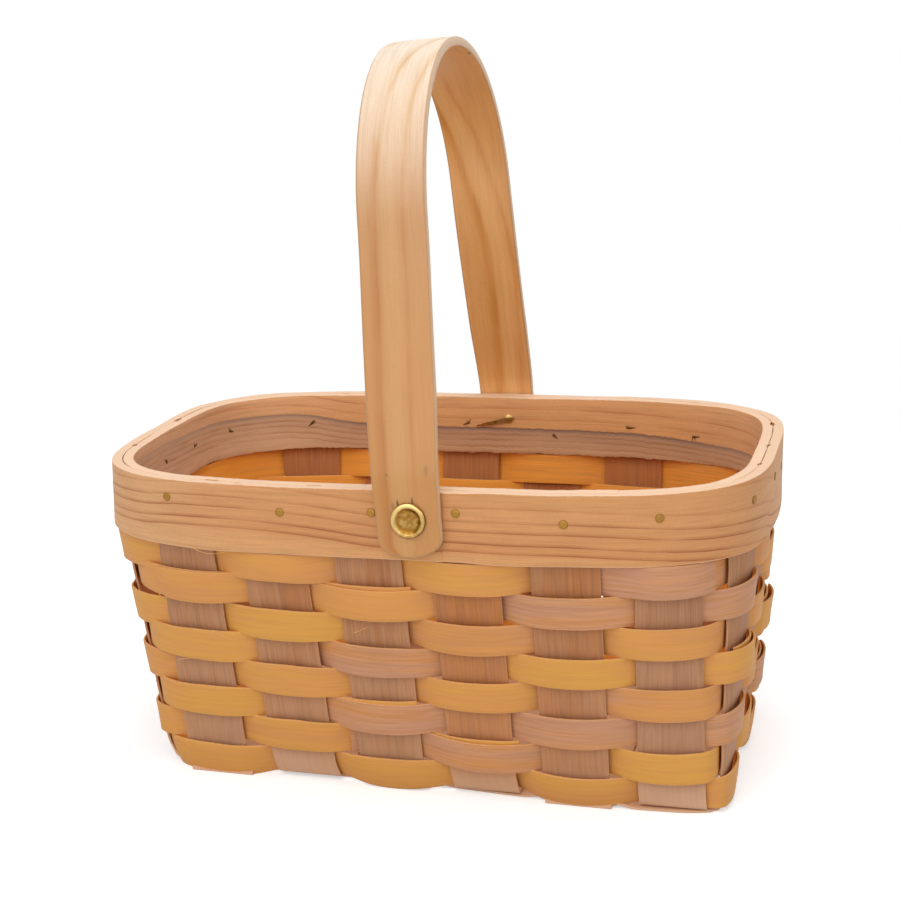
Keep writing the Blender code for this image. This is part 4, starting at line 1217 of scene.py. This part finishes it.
@dataclass
class SwingHandle:
    """The bent ribbon, worked out about its pivot and leaning as it rests."""

    wall: Wall
    pivot_x: float = 5.2 * MM
    pivot_z: float = 100.9 * MM
    lean: float = math.radians(-5.6)
    front_width: float = 22.9 * MM
    back_width: float = 22.1 * MM
    narrowing: float = 1.9 * MM
    taper: float = 36.0 * MM
    thickness: float = 3.2 * MM
    clearance: float = 0.8 * MM
    crown: float = 0.18 * MM  # how far the outer face is domed
    apex: float = 146.7 * MM
    straight: float = 12.5 * MM
    tip: float = 12.5 * MM
    tip_rise: float = 5.8 * MM
    shoulder: tuple[float, float] = (-62.5 * MM, 92.3 * MM)
    shoulder_lean: float = math.radians(5.6)
    leg_pull: float = 11.7 * MM
    shoulder_pull: float = 30.2 * MM
    arch_low_pull: float = 30.7 * MM
    arch_top_pull: float = 35.7 * MM
    edge_radius: float = 0.75 * MM
    hole_radius: float = 2.15 * MM
    # By share of the way from the front tip: place of the ribbon's middle in millimetres, the
    # painted highlight on the outer face, and how far the year rings have run across each face
    middles: Knots = ((0.00, -0.5), (0.08, -0.2), (0.20, -1.0), (0.35, -0.6), (0.50, -0.8),
                      (0.75, -0.4), (0.90, -1.8), (1.00, -1.9))
    painted_highlight: Knots = ((0.00, 0.0), (0.15, 0.0), (0.23, 0.04), (0.28, 0.12), (0.33, 0.46),
                       (0.40, 0.84), (0.46, 1.0), (0.54, 1.0), (0.62, 0.7), (0.75, 0.3),
                       (1.00, 0.1))
    outer_drift: Knots = ((0.0, -0.05), (0.20, 0.0), (0.30, 0.03), (0.38, 0.12), (0.44, 0.32),
                          (0.49, 0.62), (0.55, 0.80), (1.0, 0.50))
    inner_drift: Knots = ((0.0, 0.1), (0.5, 0.0), (0.60, -0.35), (0.70, -0.05), (0.80, 0.25),
                          (0.9, 0.2), (1.0, 0.1))

    def outer_line(self) -> Array:
        """Outer face from the front tip to the back one, as (y, z) rows.

        Each half is a straight foot and two cubic curves that meet at the shoulder.

        Returns:
            (n, 2) rows, evenly spaced except close to the tips.
        """
        leg_y = -(self.wall.rim_width / 2 + self.clearance + self.thickness)
        foot = np.array([leg_y, self.straight])
        shoulder, apex = np.array(self.shoulder), np.array([0.0, self.apex])
        lean = np.array([math.sin(self.shoulder_lean), math.cos(self.shoulder_lean)])
        t = np.linspace(0, 1, 400)[:, None]
        leg, arch = (
            (1 - t) ** 3 * p0 + 3 * t * (1 - t) ** 2 * p1 + 3 * t ** 2 * (1 - t) * p2 + t ** 3 * p3
            for p0, p1, p2, p3 in (
                (foot, foot + (0, self.leg_pull), shoulder - lean * self.shoulder_pull, shoulder),
                (shoulder, shoulder + lean * self.arch_low_pull,
                 apex - (self.arch_top_pull, 0), apex)))
        half = np.concatenate([[[leg_y, -self.tip]], leg, arch[1:]])
        whole = np.concatenate([half, (half * (-1, 1))[-2::-1]])
        distance = walked(whole)
        near = self.tip_rise * np.linspace(0.04, 1.0, 26) ** 2
        far = distance[-1] - near[::-1]
        places = np.concatenate([near, np.linspace(near[-1], far[0], 330)[1:-1], far])
        return np.stack([np.interp(places, distance, whole[:, k]) for k in (0, 1)], axis=1)

    def grid(self) -> Grid:
        """The ribbon's section carried along its line, with half an ellipse for each tip.

        Near a tip the bevel of the sides is carried round it: the depth inside the ellipse
        is the step of its equation over its slope, and both faces drop by a quarter circle.

        Returns:
            The handle's skin, in place.
        """
        line = self.outer_line()
        distance = walked(line)
        ahead = unit(np.gradient(line, axis=0))
        across, through, edge = Section(self.front_width, self.thickness, self.edge_radius,
                                        31, 3).ring()
        outside = through > 0
        way = distance / distance[-1]
        from_tip = np.minimum(distance, distance[-1] - distance)
        share = np.clip(from_tip / self.tip_rise, 0, 1)
        breadth = self.front_width + (self.back_width - self.front_width) * way
        breadth -= np.interp(line[:, 1], [0, self.taper], [self.narrowing, 0])
        breadth += 0.15 * MM * wander(distance, 38, 71) * share
        half = breadth[:, None] / 2
        x = 2 * across / self.front_width * half * np.sqrt(share * (2 - share))[:, None]
        left = (1 - share)[:, None]
        reach = np.sqrt((x / half) ** 2 + left ** 2)
        slope = np.hypot(x / half ** 2, left / self.tip_rise) / np.maximum(reach, 0.01)
        depth = np.where(left > 0, (1 - reach) / np.maximum(slope, 1.0), self.front_width)
        bevel = 1 - np.clip(depth / self.edge_radius, 0, 1)
        drop = self.edge_radius * (1 - np.sqrt(1 - bevel ** 2)) * 2 / self.thickness
        x += drawn(self.middles, way)[:, None] * MM
        dome = self.crown * ((1 - (2 * across / self.front_width) ** 2) * outside - 1)
        thick = through * (1 - drop) + dome - self.thickness / 2
        thick = thick + 0.03 * MM * wander(distance, 25, 73)[:, None] * ~outside
        y = line[:, :1] - ahead[:, 1:] * thick
        z = line[:, 1:] + ahead[:, :1] * thick
        cosine, sine = math.cos(self.lean), math.sin(self.lean)
        points = np.stack([self.pivot_x + x * cosine + z * sine, y,
                           self.pivot_z - x * sine + z * cosine], axis=-1)
        drift = np.where(outside, *(drawn(knots, way)[:, None]
                                    for knots in (self.outer_drift, self.inner_drift)))
        return Grid(points, distance, across, {
            "edge": np.maximum(edge, ease(bevel)), "ring": across / self.front_width + 0.5 - drift,
            "inside": 1.0 * ~outside, "pale": drawn(self.painted_highlight, way)[:, None] * outside})

    def build(self, material: Material) -> None:
        """Makes the handle and bores its two rivet holes as one through cut."""
        piece = add_piece("bent_handle", [self.grid()], sharp=50)
        reach = self.wall.rim_width / 2 + 8 * MM
        rings = turned(np.array([(-reach, self.hole_radius), (reach, self.hole_radius)]), 40)
        drill_points = rings[..., [1, 0, 2]] + (self.pivot_x, 0.0, self.pivot_z)
        drill = add_piece("drill", [Grid(drill_points, np.zeros(2), np.zeros(40))])
        bore = piece.modifiers.new("bore", "BOOLEAN")
        bore.operation, bore.solver, bore.object = "DIFFERENCE", "EXACT", drill
        bpy.context.view_layer.update()
        graph = bpy.context.evaluated_depsgraph_get()
        bored = bpy.data.meshes.new_from_object(piece.evaluated_get(graph))
        piece.modifiers.clear()
        piece.data = bored
        bpy.data.objects.remove(drill)
        settle(piece, "handle", "handle_wood", material, "handle")


# Fasteners

@dataclass
class Rivets:
    """Two split rivets: a dished cap outside, a shank, and two legs spread inside."""

    wall: Wall
    handle: SwingHandle
    cap_radius: float = 5.75 * MM
    cap_height: float = 1.1 * MM
    shank_radius: float = 1.75 * MM
    long_leg: float = 12.8 * MM
    short_leg: float = 2.4 * MM
    leg_tilt: float = math.radians(14.0)
    leg_width: float = 2.1 * MM
    leg_thickness: float = 0.7 * MM
    gap: float = 0.3 * MM
    shade_turn: float = math.radians(40.0)  # painted shade: where round the cap the dark crescent in the groove is darkest
    sides: int = 64
    # Up the dish, over the rolled rim and down its side: shares of cap_height and cap_radius
    dish: Knots = ((0.34, 0.02), (0.33, 0.25), (0.30, 0.45), (0.29, 0.56), (0.36, 0.63),
                   (0.58, 0.69), (0.82, 0.74), (0.96, 0.79), (1.00, 0.84), (0.95, 0.90),
                   (0.80, 0.955), (0.52, 0.99), (0.20, 1.00), (0.00, 0.985))

    def cap(self, inner: float) -> Grid:
        """The cap and its shank, in local axes: outwards, along the legs, up.

        Args:
            inner: where the shank ends, on the outward axis.

        Returns:
            Their skin.
        """
        shank = self.shank_radius
        rows = np.vstack([np.array(self.dish) * (self.cap_height, self.cap_radius),
                          [(0.0, shank), (inner + 0.2 * MM, shank), (inner, 0.8 * shank)]])
        out = rows[:, 1] / self.cap_radius
        hollow = ease((0.80 - out) / 0.16)
        hollow[len(self.dish):] = 0.5
        angle = full_turn(self.sides) - self.shade_turn
        # Painted shade: a dark ring in the groove, darkest in a crescent on one side
        groove_shade = np.exp(-((out - 0.66) / 0.075) ** 2)[:, None]
        groove_shade = groove_shade * (0.25 + 1.1 * np.clip(np.cos(angle), 0, 1))
        # Painted shade: one side of the rim and its outer flank are darker
        far = 0.5 - 0.5 * np.cos(angle - math.radians(95))
        darkened = 0.7 * far * (out > 0.7)[:, None] + 0.8 * ease((out - 0.93) / 0.07)[:, None]
        return Grid(turned(rows, self.sides), rows[:, 0], np.arange(self.sides) * 0.1 * MM,
                    {"tarnish": hollow[:, None] + groove_shade + darkened})

    def leg(self, inner: float, length: float, way: float) -> Grid:
        """A leg bent flat against the inner band, in the same axes.

        Args:
            inner: where the shank ends.
            length: the leg's length.
            way: 1 or -1 for the way it runs.

        Returns:
            Its skin.
        """
        s = np.linspace(0, 1, 24)
        taper = self.leg_width * (0.72 - 0.40 * s ** 2)
        taper = taper * np.sqrt(1 - (np.clip(s - 0.86, 0, 1) / 0.143) ** 2)
        across, through, _ = Section(1.0, self.leg_thickness, 0.2 * MM, 5, 2).ring()
        arch = 0.55 * MM * np.sin(math.pi * s) * min(1.0, length / self.long_leg)
        depth = inner - self.leg_thickness / 2 - arch
        points = np.stack([depth[:, None] + through * (1 - 0.4 * s)[:, None],
                           np.broadcast_to((way * s * length)[:, None], (24, len(across))),
                           across * taper[:, None]], axis=-1)
        return Grid(points, s * length, across,
                    {"tarnish": 0.9 - 0.8 * ease((s[:, None] - 0.6) / 0.3)})

    def build(self, material: Material) -> None:
        """Makes the front and the back rivet."""
        handle = self.handle
        face = self.wall.rim_width / 2 + handle.clearance + handle.thickness + self.gap
        inner = -(handle.thickness + handle.clearance + self.wall.through + 2 * self.gap)
        grids = [self.cap(inner), self.leg(inner, self.long_leg, 1.0),
                 self.leg(inner, self.short_leg, -1.0)]
        for name, way in (("rivet_front", -1.0), ("rivet_back", 1.0)):
            # The legs run to the right of the front rivet and to the left of the back one
            outward = np.array([0.0, way, 0.0])
            legs = np.array([-way * math.cos(self.leg_tilt), 0.0, -math.sin(self.leg_tilt)])
            axes = np.stack([outward, legs, np.cross(outward, legs)])
            spot = np.array([handle.pivot_x, way * face, handle.pivot_z])
            piece = add_piece("brass_" + name, [g.placed(axes, spot) for g in grids], sharp=35)
            settle(piece, "basket", "brass", material, name)


@dataclass
class RimNails:
    """Short brass nails, one through each stake, clinched inside."""

    wall: Wall
    head_radius: float = 1.45 * MM
    head_top: float = 0.45 * MM
    shank_radius: float = 0.55 * MM
    tip_length: float = 2.6 * MM
    height: float = 99.0
    # Nails off their stake's middle: offset along the band and height, in millimetres
    seen: dict[int, tuple[float, float]] = field(default_factory=lambda: {
        0: (-3.8, 103.0), 1: (3.9, 100.6), 2: (2.4, 101.7), 3: (-2.1, 102.5),
        4: (-0.2, 100.0), 5: (-4.2, 101.7), 6: (-3.2, 102.0), 7: (-0.3, 102.3),
        10: (8.0, 97.0), 11: (1.8, 98.8), 12: (-1.4, 95.2), 15: (-1.6, 98.7),
        16: (-8.8, 98.1), 17: (-9.2, 97.5), 18: (-9.0, 97.7)})

    def axes(self, stake: int) -> tuple[Array, Array]:
        """A nail's outward, sideways and up directions, and where it meets the outer band."""
        wall = self.wall
        aside, height = self.seen.get(stake, (0.0, self.height))
        place = np.array(stake + wall.stake_share * aside * MM / (wall.stake_width / 2))
        height = np.array(height * MM)
        outward = wall.normal(place, height)
        return (np.stack([outward, np.cross(UP, outward), UP]),
                wall.offset(place, height, np.array(wall.through / 2)))

    def grids(self, stake: int) -> list[Grid]:
        """A low domed head on its shank, and the point bent over on the inner band.

        Args:
            stake: the stake that the nail goes through.

        Returns:
            Their skins.
        """
        random = np.random.default_rng(500 + stake)
        dome = np.array([(1.0, 0.03), (0.99, 0.4), (0.95, 0.72), (0.76, 0.92), (0.35, 1.0),
                         (0.0, 0.98)]) * (self.head_top, self.head_radius)
        head = turned(np.vstack([dome, [(-0.1 * MM, self.shank_radius),
                                        (-1.0 * MM, self.shank_radius)]]), 20)
        turn = np.linspace(0, 1, 14)
        reach = self.tip_length * (0.8 + 0.5 * random.random())
        way = random.uniform(-0.9, 0.9) + (math.pi if random.random() < 0.4 else 0.0)
        out = 0.75 * MM * np.sin(np.minimum(turn * 1.6, 1.0) * math.pi / 2)
        slide = reach * np.clip(turn - 0.25, 0, 1) / 0.75
        path = np.stack([0.45 * MM - self.wall.through - out + 0.35 * MM * turn,
                         slide * math.cos(way), slide * math.sin(way)], axis=1)
        point = tube(path, self.shank_radius * (1 - 0.75 * turn ** 1.5), 10)
        point.layers = {"tarnish": 1.4}
        # Painted shade: the low brim of each head is darker
        brim_shade = 1.0 * (head[..., 0] < 0.75 * self.head_top)
        return [grid.placed(*self.axes(stake)) for grid in (
            Grid(head, np.zeros(len(head)), np.zeros(20), {"tarnish": brim_shade}), point)]

    def tears(self, stake: int) -> list[Grid]:
        """The two splits, spread like a V, that the point tears in the inner band.

        Args:
            stake: the stake that the nail goes through.

        Returns:
            Their skins.
        """
        random = np.random.default_rng(700 + stake)
        middle = random.uniform(-0.35, 0.35) + math.pi / 2 * (-1 if random.random() < 0.25 else 1)
        spread = random.uniform(0.35, 0.6)
        across, deep, _ = Section(1.0, 0.12 * MM, 0.05 * MM, 4, 1).ring()
        s = np.linspace(0, 1, 12)
        grids = []
        for angle in (middle - spread, middle + spread):
            half = 0.27 * MM * (0.7 + 0.5 * random.random()) * np.sqrt(1.02 - s) * (0.6 + s)
            run = (s - 0.2) * (1.2 + 0.9 * random.random()) * MM
            side = across * 2 * half[:, None]
            points = np.stack([
                np.broadcast_to(deep - self.wall.through - 0.02 * MM, side.shape),
                run[:, None] * math.cos(angle) - side * math.sin(angle),
                run[:, None] * math.sin(angle) + side * math.cos(angle)], axis=-1)
            grids.append(Grid(points, run, across).placed(*self.axes(stake)))
        return grids

    def build(self, brass: Material, torn: Material) -> None:
        """Makes the nails and the tears round their points."""
        for stake in range(self.wall.stakes):
            piece = add_piece(f"brass_nail_{stake + 1:02d}", self.grids(stake), sharp=35)
            settle(piece, "basket", "brass", brass, f"rim_nail_{stake + 1:02d}")
        tears = [grid for stake in range(self.wall.stakes) for grid in self.tears(stake)]
        settle(add_piece("nail_tears", tears), "basket", "band_wood", torn)


@dataclass
class LooseFibres:
    """Hairs of wood left by the knife and the saw.

    Each is a row of (stake coordinate, height in mm, distance off the wall in mm).
    """

    wall: Wall
    radius: float = 0.11 * MM
    hairs: tuple[tuple[tuple[float, float, float], ...], ...] = (
        ((0.17, 86.6, 4.2), (0.29, 85.7, 4.8), (0.42, 85.6, 5.0), (0.53, 86.2, 5.0),
         (0.62, 87.2, 4.6)),
        ((0.24, 56.8, 3.2), (0.36, 55.1, 3.7), (0.47, 53.9, 3.3)),
        ((1.79, 59.7, 2.9), (1.86, 60.9, 3.3), (1.92, 61.9, 3.3), (1.985, 62.6, 2.9)),
        ((-0.25, 43.4, 3.0), (0.03, 45.6, 3.4), (0.26, 45.2, 2.9)),
        ((0.64, 109.6, 3.3), (0.70, 109.9, 4.0), (0.73, 108.9, 4.1)))

    def build(self, material: Material) -> None:
        """Makes the hairs as one piece, each a polynomial curve through its rows."""
        grids = []
        t = np.linspace(0, 1, 26)
        for hair in self.hairs:
            knots = np.array(hair)
            at = np.linspace(0, 1, len(knots))
            place, height, distance = (np.polyval(np.polyfit(at, knots[:, k], len(knots) - 1), t)
                                       for k in range(3))
            grid = tube(self.wall.offset(place, height * MM, distance * MM),
                        self.radius * (1.1 - t), 6)
            grid.layers = {"edge": 1.0, "tone": 0.3, "shift": 0.0}
            grids.append(grid)
        settle(add_piece("loose_fibres", grids), "basket", "weaver_veneer", material)


# Studio

@dataclass
class Studio:
    """Plain white table, soft lamps and the camera at the photograph's view."""

    target: tuple[float, float, float] = (-1.1 * MM, 0.0, 104.48 * MM)
    distance: float = 697.49 * MM
    yaw: float = math.radians(13.77)
    pitch: float = math.radians(-13.44)
    roll: float = math.radians(-0.14)
    lens: float = 78.908
    table_size: float = 12.0
    table_height: float = -0.1 * MM
    table_colour: str = "#e2e2e2"
    table_glow: float = 0.46
    bare: tuple[float, float] = (0.30, 0.62)  # the table is plain white past this
    sky: float = 0.44
    # Name, place, size and watts
    lamps: tuple[tuple[str, tuple[float, float, float], float, float], ...] = (
        ("front_top", (-0.45, -0.75, 1.30), 1.3, 5.0),
        ("overhead", (0.10, 0.20, 1.60), 0.8, 6.9),
        ("behind_camera", (-0.10, -1.15, 0.70), 1.4, 8.5),
        ("right_side", (1.10, -0.45, 0.65), 1.0, 3.2))

    def add(self, name: str, data: Any) -> Piece:
        """Puts a new object into the scene."""
        item = bpy.data.objects.new(name, data)
        bpy.context.scene.collection.objects.link(item)
        return item

    def seen_rays(self, tree: Tree) -> Socket:
        """1 for rays from the camera, from gloss and through glass, and 0 for the rest."""
        camera, glossy, through = (add_node(tree, "LightPath", out=f"Is {kind} Ray")
                                   for kind in ("Camera", "Glossy", "Transmission"))
        first = add_node(tree, "Math", {0: camera, 1: glossy}, operation="MAXIMUM")
        return add_node(tree, "Math", {0: first, 1: through}, operation="MAXIMUM")

    def build_table(self) -> None:
        """A white table: what the camera sees of it glows a little, and keeps the shadow."""
        mesh = bpy.data.meshes.new("table")
        mesh.from_pydata([(x * self.table_size / 2, y * self.table_size / 2, self.table_height)
                          for x, y in ((-1, -1), (1, -1), (1, 1), (-1, 1))], [], [(0, 1, 2, 3)])
        table = self.add("table", mesh)
        recipe = Recipe("white_paper_table")
        tree = recipe.tree
        tree.nodes.remove(tree.nodes["Principled BSDF"])
        plain = add_node(tree, "BsdfDiffuse", {"Color": self.table_colour})
        glow, white = (add_node(tree, "Emission", {"Color": "#ffffff", "Strength": strength})
                       for strength in (self.table_glow, 1.0))
        near = add_node(tree, "AddShader", {0: plain, 1: glow})
        place = add_node(tree, "TexCoord", out="Object")
        away = add_node(tree, "VectorMath", {0: place}, "Value", operation="LENGTH")
        seen = add_node(tree, "MixShader", {
            "Fac": recipe.span(away, *self.bare, curve="SMOOTHSTEP"), 1: near, 2: white})
        fill(tree, tree.nodes["Material Output"], {"Surface": add_node(tree, "MixShader", {
            "Fac": self.seen_rays(tree), 1: plain, 2: seen})})
        mesh.materials.append(recipe.material)

    def build_sky(self) -> None:
        """A grey-white sky that looks white to the camera."""
        world = bpy.data.worlds.new("soft_box")
        world.use_nodes = True
        tree = world.node_tree
        light = tree.nodes["Background"]
        fill(tree, light, {"Color": "#fbfcff", "Strength": self.sky})
        white = add_node(tree, "Background", {"Color": "#ffffff", "Strength": 1.0})
        fill(tree, tree.nodes["World Output"], {"Surface": add_node(tree, "MixShader", {
            "Fac": self.seen_rays(tree), 1: light.outputs["Background"], 2: white})})
        bpy.context.scene.world = world

    def build_lamps(self) -> None:
        """Soft lamps: high in front, overhead, wide behind the camera, and at the right."""
        for name, place, size, power in self.lamps:
            lamp = bpy.data.lights.new(name, "AREA")
            lamp.shape, lamp.size, lamp.energy = "SQUARE", size, power
            item = self.add(name, lamp)
            item.location = place
            item.rotation_euler = (Vector(self.target) - item.location).to_track_quat(
                "-Z", "Y").to_euler()

    def build_camera(self) -> None:
        """The camera, turned by its yaw, pitch and roll about the target."""
        yaw, pitch, roll = self.yaw, self.pitch, self.roll
        forward = Vector((-math.sin(yaw) * math.cos(pitch), math.cos(yaw) * math.cos(pitch),
                          math.sin(pitch)))
        right = Vector((math.cos(yaw), math.sin(yaw), 0.0))
        up = right.cross(forward)
        turn = Matrix((right * math.cos(roll) + up * math.sin(roll),
                       up * math.cos(roll) - right * math.sin(roll), -forward)).transposed()
        camera = self.add("camera", bpy.data.cameras.new("camera"))
        camera.data.lens, camera.data.sensor_width = self.lens, 36.0
        camera.data.clip_start, camera.data.clip_end = 0.01, 100.0
        camera.matrix_world = Matrix.Translation(
            Vector(self.target) - forward * self.distance) @ turn.to_4x4()
        bpy.context.scene.camera = camera

    def build(self) -> None:
        """Sets the whole studio up."""
        self.build_table()
        self.build_sky()
        self.build_lamps()
        self.build_camera()
        bpy.context.scene.view_settings.view_transform = "Standard"


def main() -> None:
    """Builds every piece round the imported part."""
    logging.basicConfig(level=logging.INFO, format="%(message)s")
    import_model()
    Studio().build()

    wall = Wall()
    weavers = Weavers(wall)
    brown = STAKE_VENEER.build()
    ochre = WEAVER_VENEER.build()
    Strips(wall, weavers).build(brown)
    weavers.build(ochre)
    for band, finish in ((OUTER_BAND, OUTER_BAND_WOOD), (INNER_BAND, INNER_BAND_WOOD)):
        piece = add_piece(band.node.replace("rim_band", "band"), [band.grid(wall)])
        settle(piece, "basket", "band_wood", finish.build(), band.node)
    handle = SwingHandle(wall)
    handle.build(HANDLE_WOOD.build())
    Rivets(wall, handle).build(RIVET_BRASS.build())
    RimNails(wall).build(NAIL_BRASS.build(), TEAR.build())
    LooseFibres(wall).build(ochre)


if __name__ == "__main__":
    main()
